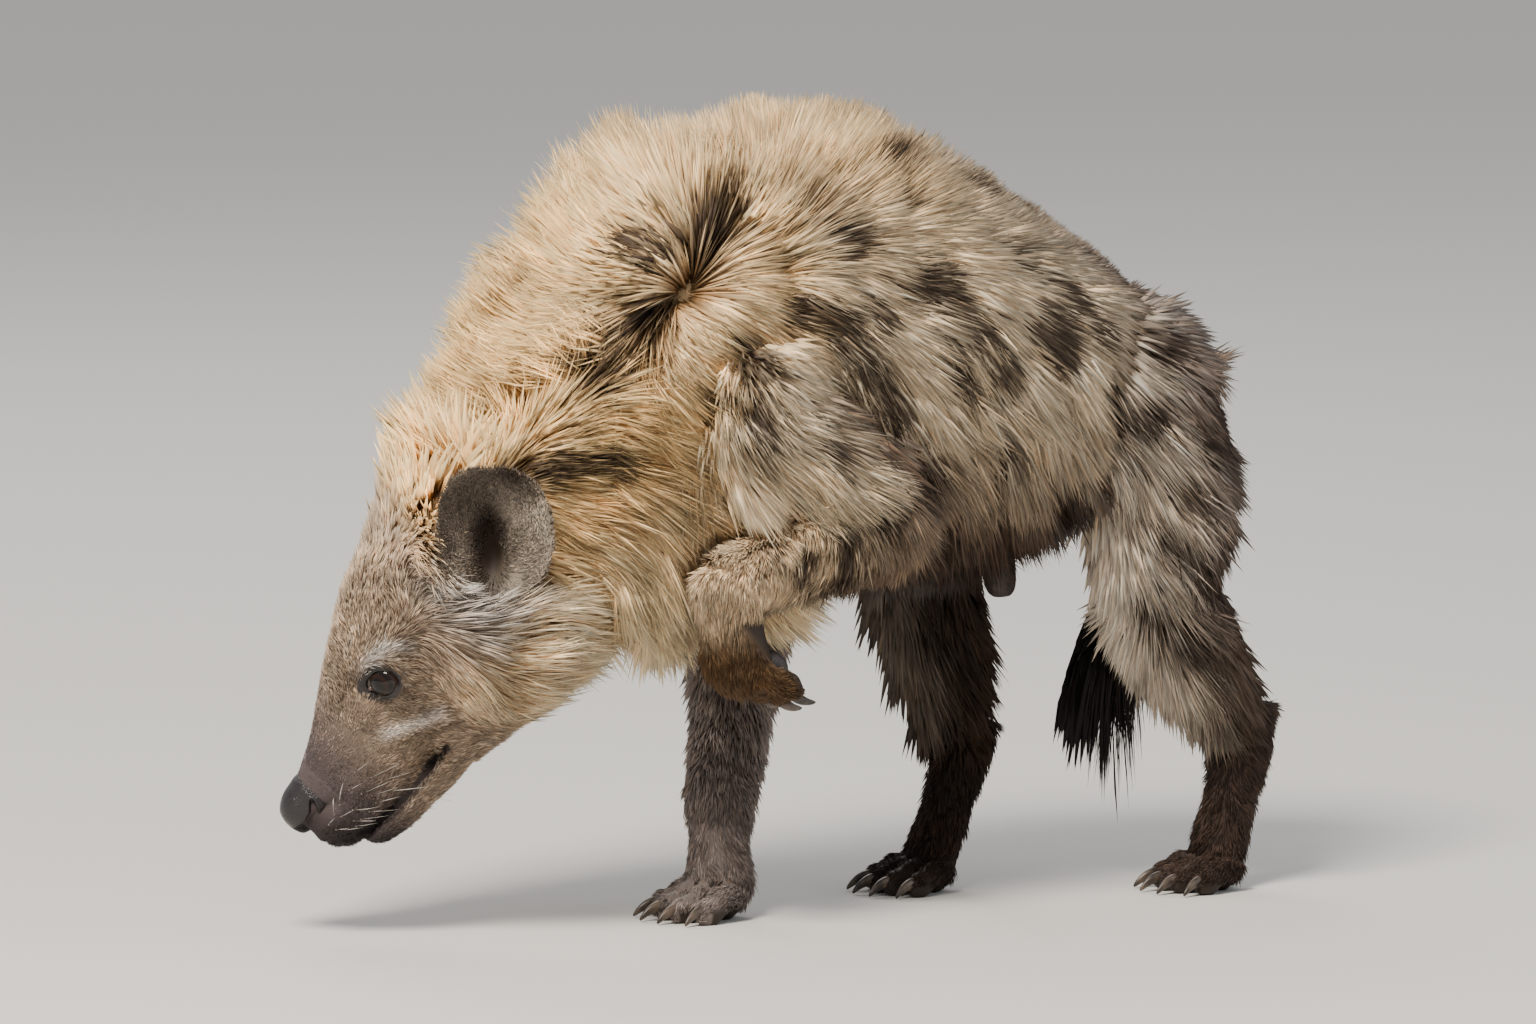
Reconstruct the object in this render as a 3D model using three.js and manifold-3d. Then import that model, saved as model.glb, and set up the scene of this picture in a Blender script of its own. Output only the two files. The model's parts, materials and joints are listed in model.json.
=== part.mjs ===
// Spotted hyena cub of about seven months, life-size, as a museum shows one: head down to sniff the
// ground, left forefoot lifted, tail tucked between the hind legs.
// Millimetres, +Z up. The animal faces -X and its left side faces -Y. Sizes are of the skin; the coat
// adds to them, half as a solid core and the rest as locks.
import * as THREE from "three";
import { mergeVertices } from "three/addons/utils/BufferGeometryUtils.js";
import Module from "manifold-3d";

const wasm = await Module();
wasm.setup();

const GAP = 0.32;
const CORE_SHARE = 0.45;
const LEFT = -1;
const RIGHT = 1;
const UP = new THREE.Vector3(0, 0, 1);
const FORWARD = new THREE.Vector3(-1, 0, 0);
const SIDES_NAMED = [["left", LEFT], ["right", RIGHT]];
const HEAD_SIDES = [["left", 1], ["right", -1]];

// Driving sizes of the trunk
const WITHERS = { x: -100, z: 522 };
const BREAST = { x: -196, z: 330 };
const RUMP = { x: 246, z: 345 };

// Joints of the limbs: x, distance from the midline, z
const JOINTS = {
  left: {
    scapula: [-88, 46, 470], shoulder: [-168, 62, 356], elbow: [-66, 70, 284],
    carpus: [-200, 80, 244], knuckle: [-190, 77, 188],
    hip: [164, 54, 368], stifle: [182, 62, 218], hock: [254, 54, 106], hindtoe: [228, 54, 0],
  },
  right: {
    scapula: [-88, 46, 470], shoulder: [-156, 58, 345], elbow: [-86, 58, 236],
    carpus: [-128, 34, 84], knuckle: [-139, 21, 30],
    hip: [158, 54, 368], stifle: [64, 60, 243], hock: [92, 52, 98], hindtoe: [58, 50, 0],
  },
};

// The head's own frame: x towards the nose, y to the animal's left, z towards the forehead
const HEAD = { at: [-316, 30, 259], nose: [-435, 120, 86] };
const EYE = { x: 105.9, y: 41.4, z: 5.2, radius: 13, opening: 9.6 };

const COLOURS = {
  coat: [0xb59a74, 0.95], neck: [0xc39a5e, 0.95], face: [0x6f6257, 0.9], leg: [0x6a5b4d, 0.95],
  skin: [0x2b2625, 0.6], eye: [0x1c1412, 0.08], claw: [0x2e2926, 0.45], tuft: [0x1d1916, 0.95],
};

// A seeded draw, so that every run gives the same coat
let seed = 20240611;
function draw(low, high) {
  seed = (seed + 0x6d2b79f5) | 0;
  let t = Math.imul(seed ^ (seed >>> 15), 1 | seed);
  t = (t + Math.imul(t ^ (t >>> 7), 61 | t)) ^ t;
  return low + (high - low) * (((t ^ (t >>> 14)) >>> 0) / 4294967296);
}

const vector = (xyz) => new THREE.Vector3(...xyz);
const mirrored = ([x, off, z], side) => [x, off * side, z];

// A closed surface through rings of points, with a fan over each end
function ringGeometry(rings) {
  const count = rings[0].length;
  const points = rings.flat();
  const faces = [];
  for (let r = 0; r + 1 < rings.length; r++)
    for (let i = 0; i < count; i++) {
      const j = (i + 1) % count;
      const [a, b, c, d] = [r * count + i, r * count + j, (r + 1) * count + j, (r + 1) * count + i];
      faces.push([a, b, c], [a, c, d]);
    }
  for (const [ring, start, turned] of [[rings[0], 0, true], [rings.at(-1), (rings.length - 1) * count, false]]) {
    const pole = points.length;
    points.push(ring.reduce((sum, p) => sum.add(p), new THREE.Vector3()).divideScalar(count));
    for (let i = 0; i < count; i++) {
      const j = (i + 1) % count;
      faces.push(turned ? [start + j, start + i, pole] : [start + i, start + j, pole]);
    }
  }
  const geometry = new THREE.BufferGeometry().setFromPoints(points);
  return geometry.setIndex(faces.flat());
}

// A geometry as a solid, its faces turned out whichever way its rings ran
function solid(geometry) {
  const bare = geometry.clone();
  bare.deleteAttribute("normal");
  bare.deleteAttribute("uv");
  const merged = mergeVertices(bare, 1e-3);
  const place = merged.attributes.position.array;
  const triVerts = new Uint32Array(merged.index.array);
  let volume = 0;
  const [a, b, c] = [new THREE.Vector3(), new THREE.Vector3(), new THREE.Vector3()];
  for (let i = 0; i < triVerts.length; i += 3) {
    a.fromArray(place, 3 * triVerts[i]);
    b.fromArray(place, 3 * triVerts[i + 1]);
    c.fromArray(place, 3 * triVerts[i + 2]);
    volume += a.dot(b.cross(c));
  }
  if (volume < 0) triVerts.reverse();
  return new wasm.Manifold(new wasm.Mesh({ numProp: 3, vertProperties: place, triVerts }));
}

const joined = (solids) => wasm.Manifold.union(solids);
const cutBy = (body, cutters) => (cutters.length ? body.subtract(joined(cutters)) : body);

// Only the largest closed surface: this fills hollows that fusing seals and drops loose scraps
function largest(body) {
  return body.decompose().sort((a, b) => b.volume() - a.volume())[0];
}

const curve = (points) => new THREE.CatmullRomCurve3(points, false, "catmullrom", 0.5);

// A tube of flesh through named rings. Each ring has its centre, its half sizes up, down and to the
// side, and the coat's depth over its top, side and bottom. Angle 0 is the top and +90 degrees the
// animal's left on a tube that runs tailwards.
class Tube {
  constructor(rings, { up = UP, axis = null, sides = 14, steps = 2, boxy = 2.2 } = {}) {
    this.centres = curve(rings.map((r) => vector(r.at)));
    this.sizes = curve(rings.map((r) => new THREE.Vector3(r.up, r.down, r.side)));
    this.coats = curve(rings.map((r) => vector(r.coat ?? [0, 0, 0])));
    Object.assign(this, { up, axis, sides, boxy, count: (rings.length - 1) * steps });
  }

  depth(s, angle) {
    const coat = this.coats.getPoint(THREE.MathUtils.clamp(s, 0, 1));
    const share = Math.cos(angle) ** 2;
    return Math.max(0, THREE.MathUtils.lerp(coat.y, Math.cos(angle) > 0 ? coat.x : coat.z, share));
  }

  // The point at station s (0 to 1) and an angle, at a height over the skin
  point(s, angle, height = 0) {
    const at = THREE.MathUtils.clamp(s, 0, 1);
    const tangent = this.axis ?? this.centres.getTangent(at);
    const top = this.up.clone().addScaledVector(tangent, -this.up.dot(tangent)).normalize();
    const side = tangent.clone().cross(top);
    const size = this.sizes.getPoint(at);
    const round = (x) => Math.sign(x) * Math.abs(x) ** (2 / this.boxy);
    const rise = round(Math.cos(angle)) * ((Math.cos(angle) > 0 ? size.x : size.y) + height);
    const out = round(Math.sin(angle)) * (size.z + height);
    const beyond = (s - at) * this.centres.getLength();
    return this.centres.getPoint(at).addScaledVector(top, rise).addScaledVector(side, out)
      .addScaledVector(tangent, beyond);
  }

  // The closed solid of the flesh and the coat's core, grown by a margin
  core(margin = 0, share = CORE_SHARE) {
    const rings = [];
    for (let i = 0; i <= this.count; i++) {
      const ring = [];
      for (let k = 0; k < this.sides; k++) {
        const angle = (2 * Math.PI * (k + 0.5)) / this.sides;
        ring.push(this.point(i / this.count, angle, margin + share * this.depth(i / this.count, angle)));
      }
      rings.push(ring);
    }
    return solid(ringGeometry(rings));
  }

  // How far to go in s and in angle to move along the skin by a vector
  step(s, angle, along) {
    const tiny = 0.01;
    const here = this.point(s, angle);
    const ds = this.point(s + tiny, angle).sub(here).divideScalar(tiny);
    const da = this.point(s, angle + tiny).sub(here).divideScalar(tiny);
    const [ss, sa, aa] = [ds.dot(ds), ds.dot(da), da.dot(da)];
    const [vs, va] = [along.dot(ds), along.dot(da)];
    const base = ss * aa - sa * sa;
    const held = (x, most) => THREE.MathUtils.clamp(x, -most, most);
    return [held((vs * aa - va * sa) / base, 0.6), held((va * ss - vs * sa) / base, 1.3)];
  }
}

// One flat, tapered lock with a ridge along it: its root is sunk in the core, it leaves along a
// direction, bends down by its own weight and to one side, and ends in a point at the coat's full
// depth. One of a mane is shorter and stands half on edge.
const LOCK_RINGS = [[0, 0.9, 1], [0.55, 0.9, 0.85]];
function lockRings(tube, { s, angle, along, reach, width, thick, rise = 1, sink = 8, sag = 0, curl = 0, twist }) {
  const way = along.clone().normalize();
  const out = tube.point(s, angle, 5).sub(tube.point(s, angle)).normalize();
  const across = way.clone().cross(out);
  const low = CORE_SHARE * tube.depth(s, angle) - sink;
  const high = rise * tube.depth(s, angle);
  const spine = (t) => {
    const far = way.clone().multiplyScalar(reach * t).addScaledVector(across, curl * t * t);
    far.z -= sag * t * t;
    const [ds, da] = tube.step(s, angle, far);
    const climb = twist ? t : (t + Math.sin((Math.min(t, 1) * Math.PI) / 2)) / 2;
    return tube.point(s + ds, angle + da, low + (high - low) * climb);
  };
  const rings = LOCK_RINGS.map(([t, wide, deep]) => {
    const centre = spine(t);
    const tangent = spine(t + 0.08).sub(spine(t)).normalize();
    const side = tangent.clone().cross(out).normalize().applyAxisAngle(tangent, twist ?? 0);
    const face = side.clone().cross(tangent);
    const [w, h] = [(width / 2) * wide, (thick / 2) * deep];
    return [[w, -0.4 * h], [0, 1.4 * h], [-w, -0.4 * h]].map(([x, y]) =>
      centre.clone().addScaledVector(side, x).addScaledVector(face, y));
  });
  return [...rings, spine(1)];
}

function lock(tube, each) {
  const [root, middle, tip] = lockRings(tube, each);
  const geometry = ringGeometry([root, middle]);
  const place = geometry.attributes.position;
  place.setXYZ(place.count - 1, ...tip.toArray());
  return solid(geometry);
}

// The room that a lock needs with the gap around it
const ROUND = [[1, 0, 0], [-1, 0, 0], [0, 1, 0], [0, -1, 0], [0, 0, 1], [0, 0, -1]];
function roomFor(tube, each) {
  const [root, middle, tip] = lockRings(tube, each);
  const around = (points) => wasm.Manifold.hull(points.flatMap((p) =>
    ROUND.map((way) => p.toArray().map((x, i) => x + Math.sqrt(3) * GAP * way[i]))));
  return around([...root, ...middle]).add(around([...middle, tip]));
}

// Trunk

const trunk = new Tube([
  { at: [BREAST.x, 0, 335], up: 60, down: 55, side: 34, coat: [24, 22, 24] },
  { at: [-160, 0, 372], up: 124, down: 124, side: 60, coat: [38, 28, 24] },
  { at: [WITHERS.x, 0, 384], up: 139, down: 140, side: 76, coat: [46, 32, 26] },
  { at: [-30, 0, 384], up: 134, down: 126, side: 84, coat: [44, 35, 28] },
  { at: [40, 0, 376], up: 115, down: 108, side: 84, coat: [38, 35, 30] },
  { at: [102, 0, 370], up: 91, down: 86, side: 74, coat: [32, 32, 28] },
  { at: [160, 0, 360], up: 67, down: 62, side: 60, coat: [26, 26, 22] },
  { at: [212, 0, 350], up: 40, down: 44, side: 46, coat: [22, 20, 18] },
  { at: [RUMP.x, 0, RUMP.z], up: 12, down: 16, side: 18, coat: [16, 16, 14] },
], { axis: new THREE.Vector3(1, 0, 0), sides: 16, steps: 1 });

const neck = new Tube([
  { at: [-330, 36, 246], up: 52, down: 56, side: 44, coat: [20, 12, 20] },
  { at: [-300, 26, 278], up: 66, down: 82, side: 50, coat: [40, 20, 30] },
  { at: [-250, 14, 322], up: 88, down: 100, side: 60, coat: [50, 26, 34] },
  { at: [-190, 4, 366], up: 118, down: 114, side: 66, coat: [52, 26, 28] },
  { at: [-130, 0, 396], up: 126, down: 116, side: 60, coat: [46, 24, 24] },
], { sides: 14, steps: 1 });

// Limbs: each is a chain of tubes, cut where the next part begins

// A coat is one depth all round, or its depths over the front, the side and the back
function limbRings(points, sizes, coats) {
  return points.map((at, i) => ({
    at, up: sizes[i][0], down: sizes[i][1], side: sizes[i][2],
    coat: Array.isArray(coats[i]) ? coats[i] : Array(3).fill(coats[i]),
  }));
}

const between = (a, b, t, shift = [0, 0, 0]) => a.map((x, i) => x + (b[i] - x) * t + shift[i]);

function foreleg(side, j) {
  const p = Object.fromEntries(Object.entries(j).map(([k, at]) => [k, mirrored(at, side)]));
  const arm = new Tube(limbRings(
    [between(p.scapula, p.shoulder, 0.58), between(p.scapula, p.shoulder, 0.78), p.shoulder, between(p.shoulder, p.elbow, 0.5), p.elbow],
    [[12, 14, 10], [30, 38, 24], [38, 46, 31], [36, 42, 31], [29, 30, 25]],
    [4, [14, 22, 14], [20, 32, 20], [20, 32, 20], [12, 18, 12]]), { up: FORWARD, sides: 12, steps: 1 });
  const lifted = p.carpus[2] > 150;
  const foreUp = lifted ? UP : FORWARD;
  const fore = new Tube(limbRings(
    [between(p.elbow, p.carpus, -0.12), p.elbow, between(p.elbow, p.carpus, 0.3), between(p.elbow, p.carpus, 0.75), p.carpus],
    [[20, 22, 18], [31, 31, 26], [27, 28, 24], [22, 23, 20], [23, 23, 21]], [8, 10, 9, 6, 5]), { up: foreUp, sides: 12, steps: 1 });
  return { p, lifted, arm, fore };
}

function hindleg(side, j) {
  const p = Object.fromEntries(Object.entries(j).map(([k, at]) => [k, mirrored(at, side)]));
  const thigh = new Tube(limbRings(
    [between(p.hip, p.stifle, -0.32, [2, -18 * side, 0]), between(p.hip, p.stifle, -0.18, [2, -12 * side, 0]), p.hip,
      between(p.hip, p.stifle, 0.5, [10, 2 * side, 0]), p.stifle],
    [[14, 14, 8], [42, 38, 20], [56, 46, 31], [50, 50, 34], [38, 38, 27]],
    [6, [16, 22, 16], [24, 34, 24], [26, 36, 26], [22, 28, 22]]), { up: FORWARD, sides: 14, steps: 1 });
  const shank = new Tube(limbRings(
    [between(p.stifle, p.hock, -0.12), p.stifle, between(p.stifle, p.hock, 0.4), between(p.stifle, p.hock, 0.82), p.hock],
    [[24, 24, 20], [36, 35, 27], [30, 29, 23], [19, 20, 15], [17, 20, 15]], [10, 22, 24, 18, 10]), { up: FORWARD, sides: 12, steps: 1 });
  return { p, thigh, shank };
}

// A foot: the cannon of the limb, the palm and four toes with their pads
const TOE_SPREAD = [-1.5, -0.5, 0.5, 1.5];
function foot(wrist, knuckle, forward, palm, size) {
  const across = forward.clone().cross(palm).normalize();
  const top = palm.clone().negate();
  const base = vector(wrist);
  const ball = vector(knuckle);
  const cannon = new Tube(limbRings(
    [base.clone().lerp(ball, -0.25).toArray(), base.toArray(), base.clone().lerp(ball, 0.5).toArray(), knuckle,
      ball.clone().addScaledVector(forward, size.palm * 0.6).addScaledVector(palm, size.drop * 0.4).toArray()],
    [[14, 14, 14], [size.wrist, size.wrist, size.wrist * 0.95], [size.wrist * 0.8, size.wrist * 0.82, size.wrist * 0.9],
      [size.wrist * 0.82, size.wrist * 0.9, size.wrist * 1.15], [size.wrist * 0.5, size.wrist * 0.6, size.wrist * 0.95]],
    [4, 5, 4, 3, 2]), { up: top.clone().add(forward).normalize(), sides: 8, steps: 1 });
  const pad = new Tube(limbRings(
    [-0.9, -0.3, 0.4, 0.9].map((t) => ball.clone().addScaledVector(forward, t * size.palm * 0.8)
      .addScaledVector(palm, size.drop * 0.72).toArray()),
    [[4, 4, 6], [10, 10, 17], [10, 10, 19], [4, 4, 8]], [0, 0, 0, 0]), { up: top, sides: 6, steps: 1 });
  const toes = TOE_SPREAD.map((k) => {
    const lead = Math.abs(k) > 1 ? 0 : 8;
    const way = forward.clone().addScaledVector(across, k * 0.13).normalize();
    const root = ball.clone().addScaledVector(across, k * size.toe * 1.55).addScaledVector(forward, lead - 4);
    const stations = [[-4, 0.2, 0.7], [12, 0.15, 1.05], [29, 0.62, 1.1], [40, 0.8, 0.5]];
    const rings = limbRings(
      stations.map(([far, low]) => root.clone().addScaledVector(way, far * size.reach)
        .addScaledVector(palm, low * size.drop).toArray()),
      stations.map(([, , fat]) => [size.toe * fat * 0.95, size.toe * fat * 1.1, size.toe * fat * 0.86]), [2, 2, 2, 1]);
    return { tube: new Tube(rings, { up: top, sides: 5, steps: 1 }), root, way };
  });
  const claws = toes.map(({ root, way }) => {
    const start = root.clone().addScaledVector(way, 36 * size.reach).addScaledVector(palm, size.drop * 0.62);
    const stations = [[0, 0, 4.2], [9, 1.2, 3.5], [17, 6.2, 1.1]];
    return new Tube(limbRings(
      stations.map(([far, low]) => start.clone().addScaledVector(way, far).addScaledVector(palm, low).toArray()),
      stations.map(([, , r]) => [r, r, r * 0.72]), [0, 0, 0]), { up: top, sides: 5, steps: 1 });
  });
  return { cannon, pad, toes, claws };
}

// Tail: the dock hangs from the rump and turns forwards between the thighs

const tail = new Tube([
  { at: [236, 0, 356], up: 22, down: 22, side: 22, coat: [8, 8, 8] },
  { at: [248, 0, 318], up: 17, down: 17, side: 17, coat: [16, 14, 14] },
  { at: [236, 2, 268], up: 13, down: 13, side: 13, coat: [16, 14, 14] },
  { at: [212, 5, 228], up: 10, down: 10, side: 10, coat: [14, 14, 14] },
  { at: [193, 8, 192], up: 7, down: 7, side: 7, coat: [16, 16, 16] },
  { at: [187, 9, 164], up: 3, down: 3, side: 3, coat: [16, 16, 16] },
], { up: new THREE.Vector3(1, 0, 0), sides: 10, steps: 1 });

const sheath = new Tube([
  { at: [70, 0, 290], up: 11, down: 11, side: 11 },
  { at: [80, 0, 252], up: 13, down: 13, side: 12, coat: [3, 3, 3] },
  { at: [84, 0, 228], up: 12, down: 12, side: 11, coat: [2, 2, 2] },
  { at: [85, 0, 214], up: 8, down: 8, side: 8 },
], { up: FORWARD, sides: 10, steps: 1 });

// Head, in its own frame

function headFrame() {
  const [at, nose] = [vector(HEAD.at), vector(HEAD.nose)];
  const x = nose.clone().sub(at).normalize();
  const y = UP.clone().cross(x).normalize();
  const z = x.clone().cross(y);
  return new THREE.Matrix4().makeBasis(x, y, z).setPosition(at);
}

const headRing = (x, top, bottom, side, coat = 3) => ({
  at: [x, 0, 0], up: top, down: -bottom, side, coat: [coat, coat, coat],
});
const alongHead = { axis: new THREE.Vector3(1, 0, 0), boxy: 2.3 };
const skull = new Tube([
  headRing(-34, 44, -50, 44, 6), headRing(-8, 66, -72, 60, 9), headRing(24, 74, -84, 66, 9),
  headRing(54, 72, -86, 65, 7), headRing(82, 65, -84, 58, 5), headRing(104, 57, -80, 50, 3), headRing(118, 50, -76, 44, 3),
  headRing(125, 46, -57, 41, 3), headRing(144, 36, -56, 34, 2), headRing(168, 21, -56, 31, 2), headRing(190, 11, -56, 29, 2),
  headRing(210, 5, -54, 24, 1), headRing(223, -4, -43, 16, 1),
], { ...alongHead, sides: 18, steps: 1 });

const jaw = new Tube([
  { at: [108, 0, -64], up: 8, down: 12, side: 30, coat: [1, 2, 2] },
  { at: [134, 0, -64], up: 10, down: 13, side: 28, coat: [1, 2, 2] },
  { at: [152, 0, -63], up: 10, down: 12, side: 25, coat: [1, 2, 2] },
  { at: [172, 0, -63], up: 9, down: 11, side: 22, coat: [1, 2, 2] },
  { at: [190, 0, -61], up: 7, down: 9, side: 17, coat: [1, 1, 1] },
  { at: [202, 0, -59], up: 3, down: 4, side: 9 },
], { ...alongHead, sides: 14, steps: 1 });

const nosePad = new Tube([
  { at: [207, 0, -9], up: 11, down: 14, side: 15 },
  { at: [217, 0, -10], up: 15, down: 17, side: 18.5 },
  { at: [227, 0, -11], up: 14, down: 17, side: 17.5 },
  { at: [232, 0, -12], up: 9, down: 12, side: 12 },
], { ...alongHead, sides: 14, steps: 1 });

function ball(at, radii, width = 14, height = 10) {
  return solid(new THREE.SphereGeometry(1, width, height).scale(...radii).translate(...at));
}

// A lid: a round bead over the eyeball from one corner of the eye to the other
function lid(side, rise) {
  const centre = new THREE.Vector3(EYE.x, EYE.y * side, EYE.z);
  const out = new THREE.Vector3(0.5, 0.86 * side, 0.1).normalize();
  const high = new THREE.Vector3(-0.43, 0, 0.9);
  high.addScaledVector(out, -high.dot(out)).normalize();
  const ahead = high.clone().cross(out).multiplyScalar(side).normalize();
  const rings = [];
  for (let i = 0; i <= 5; i++) {
    const t = (i / 5) * Math.PI;
    const bead = 2.1 * Math.sin(t) ** 0.5 + 1.2;
    const middle = centre.clone().addScaledVector(ahead, 14 * Math.cos(t) * (Math.cos(t) > 0 ? 1.15 : 1))
      .addScaledVector(high, rise * Math.sin(t)).addScaledVector(out, 9.8 - 1.6 * Math.cos(t) ** 2);
    const around = middle.clone().sub(centre).normalize();
    const ring = [];
    const along = ahead.clone().multiplyScalar(-Math.sin(t) * 14).addScaledVector(high, rise * Math.cos(t)).normalize();
    const cross = along.clone().cross(around).normalize();
    for (let k = 0; k < 5; k++) {
      const a = (k / 5) * 2 * Math.PI;
      ring.push(middle.clone().addScaledVector(around, bead * Math.cos(a)).addScaledVector(cross, bead * Math.sin(a)));
    }
    rings.push(ring);
  }
  return solid(ringGeometry(rings));
}

// An ear: a bowl of even thickness whose outline is round with a straighter front edge
const EAR = { length: 103, width: 87, depth: 22, thick: 3.4 };
function earRings(side, margin = 0) {
  const tip = new THREE.Vector3(-0.7, 0.28 * side, 0.63).normalize();
  const out = new THREE.Vector3(0.22, 0.96 * side, -0.08);
  out.addScaledVector(tip, -out.dot(tip)).normalize();
  const front = out.clone().cross(tip).multiplyScalar(side).normalize();
  const centre = new THREE.Vector3(-20, 93 * side, 18);
  const outline = (a) => {
    const [forward, rise] = [Math.cos(a), Math.sin(a)];
    const flatFront = forward > 0 ? 0.84 : 1;
    const squareTop = 1 + 0.07 * Math.sin(2 * a) ** 2 * (rise > 0 ? 1 : 0);
    return [forward * flatFront * squareTop * (EAR.width / 2 + margin), rise * squareTop * (EAR.length / 2 + margin)];
  };
  const ringAt = (share, depth) => Array.from({ length: 16 }, (_, k) => {
    const [f, t] = outline((k / 16) * 2 * Math.PI);
    const hollow = depth * (1 - share ** 2.4);
    return centre.clone().addScaledVector(front, f * share).addScaledVector(tip, t * share - 14 * (1 - share))
      .addScaledVector(out, -hollow);
  });
  const inside = [0.15, 0.5, 0.78, 0.96].map((share) => ringAt(share, EAR.depth - margin));
  const outside = [1, 0.9, 0.6, 0.2].map((share) => ringAt(share, EAR.depth + EAR.thick + margin)
    .map((p) => p.addScaledVector(out, -EAR.thick * 0.7 - margin)));
  return solid(ringGeometry([...inside, ...outside]));
}

// The coat's locks, set in staggered rows on a tube

function coatRows(tube, { from, to, row, gap, size, keep = () => true }) {
  const found = [];
  const length = tube.centres.getLength();
  const rows = Math.max(1, Math.round(((to - from) * length) / row));
  for (let i = 0; i <= rows; i++) {
    const s = from + ((to - from) * i) / rows;
    const waist = 2 * Math.PI * (tube.sizes.getPoint(s).length() / Math.sqrt(3) + 8);
    const count = Math.max(3, Math.round(waist / gap));
    for (let k = 0; k < count; k++) {
      const angle = -Math.PI + (2 * Math.PI * (k + (i % 2) / 2 + draw(-0.14, 0.14))) / count;
      const place = { s: s + draw(-0.14, 0.14) / rows, angle: angle > Math.PI ? angle - 2 * Math.PI : angle };
      if (keep(place)) found.push({ ...place, ...size(place) });
    }
  }
  return found;
}

const degrees = THREE.MathUtils.degToRad;
const flat = (x, z) => new THREE.Vector3(x, 0, z);

// Trunk: an upright mane on the spine, then backwards, curving down the flank to a hanging fringe
const trunkLocks = coatRows(trunk, {
  from: 0.12, to: 0.9, row: 58, gap: 50,
  keep: ({ angle }) => Math.abs(angle) > degrees(22),
  size: ({ angle }) => {
    const turn = Math.abs(angle);
    const common = { reach: draw(84, 102), width: draw(36, 42), thick: draw(7, 9), curl: draw(-10, 10) };
    if (turn < degrees(60)) return { ...common, along: flat(1, -0.1), sag: 16 };
    if (turn < degrees(100)) return { ...common, along: flat(1, -0.35), sag: 42 };
    if (turn < degrees(140)) return { ...common, along: flat(0.65, -0.75), sag: 10, reach: draw(64, 78) };
    return { ...common, along: flat(1, -0.15), reach: draw(64, 78) };
  },
});
const MANE = { thick: 8, sink: 10 };
const MANE_SIDES = [[-9, -1], [9, 1]];
for (let i = 0; i < 25; i++) {
  const [where, turn] = MANE_SIDES[i % 2];
  trunkLocks.push({ ...MANE, s: 0.09 + 0.0325 * i, angle: degrees(where + draw(-4, 4)), along: flat(1, 0), twist: turn * draw(0.5, 1),
    reach: 20 + 1.3 * i + draw(-4, 8), width: draw(20, 25), rise: draw(0.95, 1.25), curl: draw(-8, 8) });
}

// Neck: the mane lies forwards and up on both sides of the nape, the ruff falls back and down
const neckLocks = coatRows(neck, {
  from: 0.22, to: 0.96, row: 57, gap: 50,
  keep: ({ angle }) => Math.abs(angle) > degrees(22),
  size: ({ angle }) => {
    const common = { reach: draw(80, 98), width: draw(36, 42), thick: draw(7, 9), curl: draw(-10, 10) };
    if (Math.abs(angle) < degrees(66)) return { ...common, along: flat(-0.75, 0.55), reach: draw(60, 72) };
    return { ...common, along: flat(0.6, -0.7), sag: 20 };
  },
});
for (let i = 0; i < 18; i++) {
  const [where, turn] = MANE_SIDES[i % 2];
  neckLocks.push({ ...MANE, s: 0.16 + 0.047 * i, angle: degrees(where + draw(-4, 4)), along: flat(-1, 0), twist: turn * draw(0.5, 1),
    reach: 42 - 0.8 * i + draw(-4, 8), width: draw(20, 25), rise: draw(0.95, 1.2), curl: draw(-8, 8) });
}

const tailLocks = coatRows(tail, {
  from: 0.34, to: 0.9, row: 46, gap: 27,
  size: () => ({ along: new THREE.Vector3(-0.35, 0.04, -1), reach: draw(70, 92), width: draw(15, 19), thick: 7, sink: 6, curl: draw(-7, 7) }),
});

// Limbs: only their outer sides carry long hair
function limbLocks(tube, side, { from, to, row, gap, along, reach, width }) {
  return coatRows(tube, {
    from, to, row, gap,
    keep: ({ angle }) => angle * side > degrees(5) && angle * side < degrees(176),
    size: () => ({ along, reach: reach * draw(0.85, 1.15), width: width * draw(0.9, 1.1), thick: draw(6, 7.5), sag: 8, curl: draw(-6, 6) }),
  });
}

// Everything is built, then each node is cut clear of those that it grows from

const legs = {};
for (const [name, side] of SIDES_NAMED) {
  const front = foreleg(side, JOINTS[name]);
  const back = hindleg(side, JOINTS[name]);
  const hang = new THREE.Vector3(0.66, 0.1, -0.75).normalize();
  const palmUp = new THREE.Vector3(0.75, 0.1, 0.66);
  palmUp.addScaledVector(hang, -palmUp.dot(hang)).normalize();
  const down = new THREE.Vector3(0, 0, -1);
  front.foot = front.lifted
    ? foot(front.p.carpus, front.p.knuckle, hang, palmUp, { wrist: 23, palm: 16, drop: 14, toe: 8.5, reach: 1 })
    : foot(front.p.carpus, [front.p.knuckle[0], front.p.knuckle[1], 20], FORWARD, down,
      { wrist: 22, palm: 16, drop: 18, toe: 9, reach: 1 });
  const ballOfHindFoot = [back.p.hindtoe[0], back.p.hindtoe[1], 18.5];
  back.foot = foot(back.p.hock, ballOfHindFoot, FORWARD, down, { wrist: 18, palm: 15, drop: 15.5, toe: 8.4, reach: 0.95 });
  legs[name] = { front, back };
}

const floorBlock = solid(new THREE.BoxGeometry(2000, 1000, 200).translate(0, 0, -100));
const headMatrix = headFrame();
const inWorld = (body) => body.transform(headMatrix.elements);

const headSolid = (margin) => skull.core(margin);

const nodes = [];
const node = (name, body, finish, group = "body") => nodes.push({ name, body: largest(body), finish, group });

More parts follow.
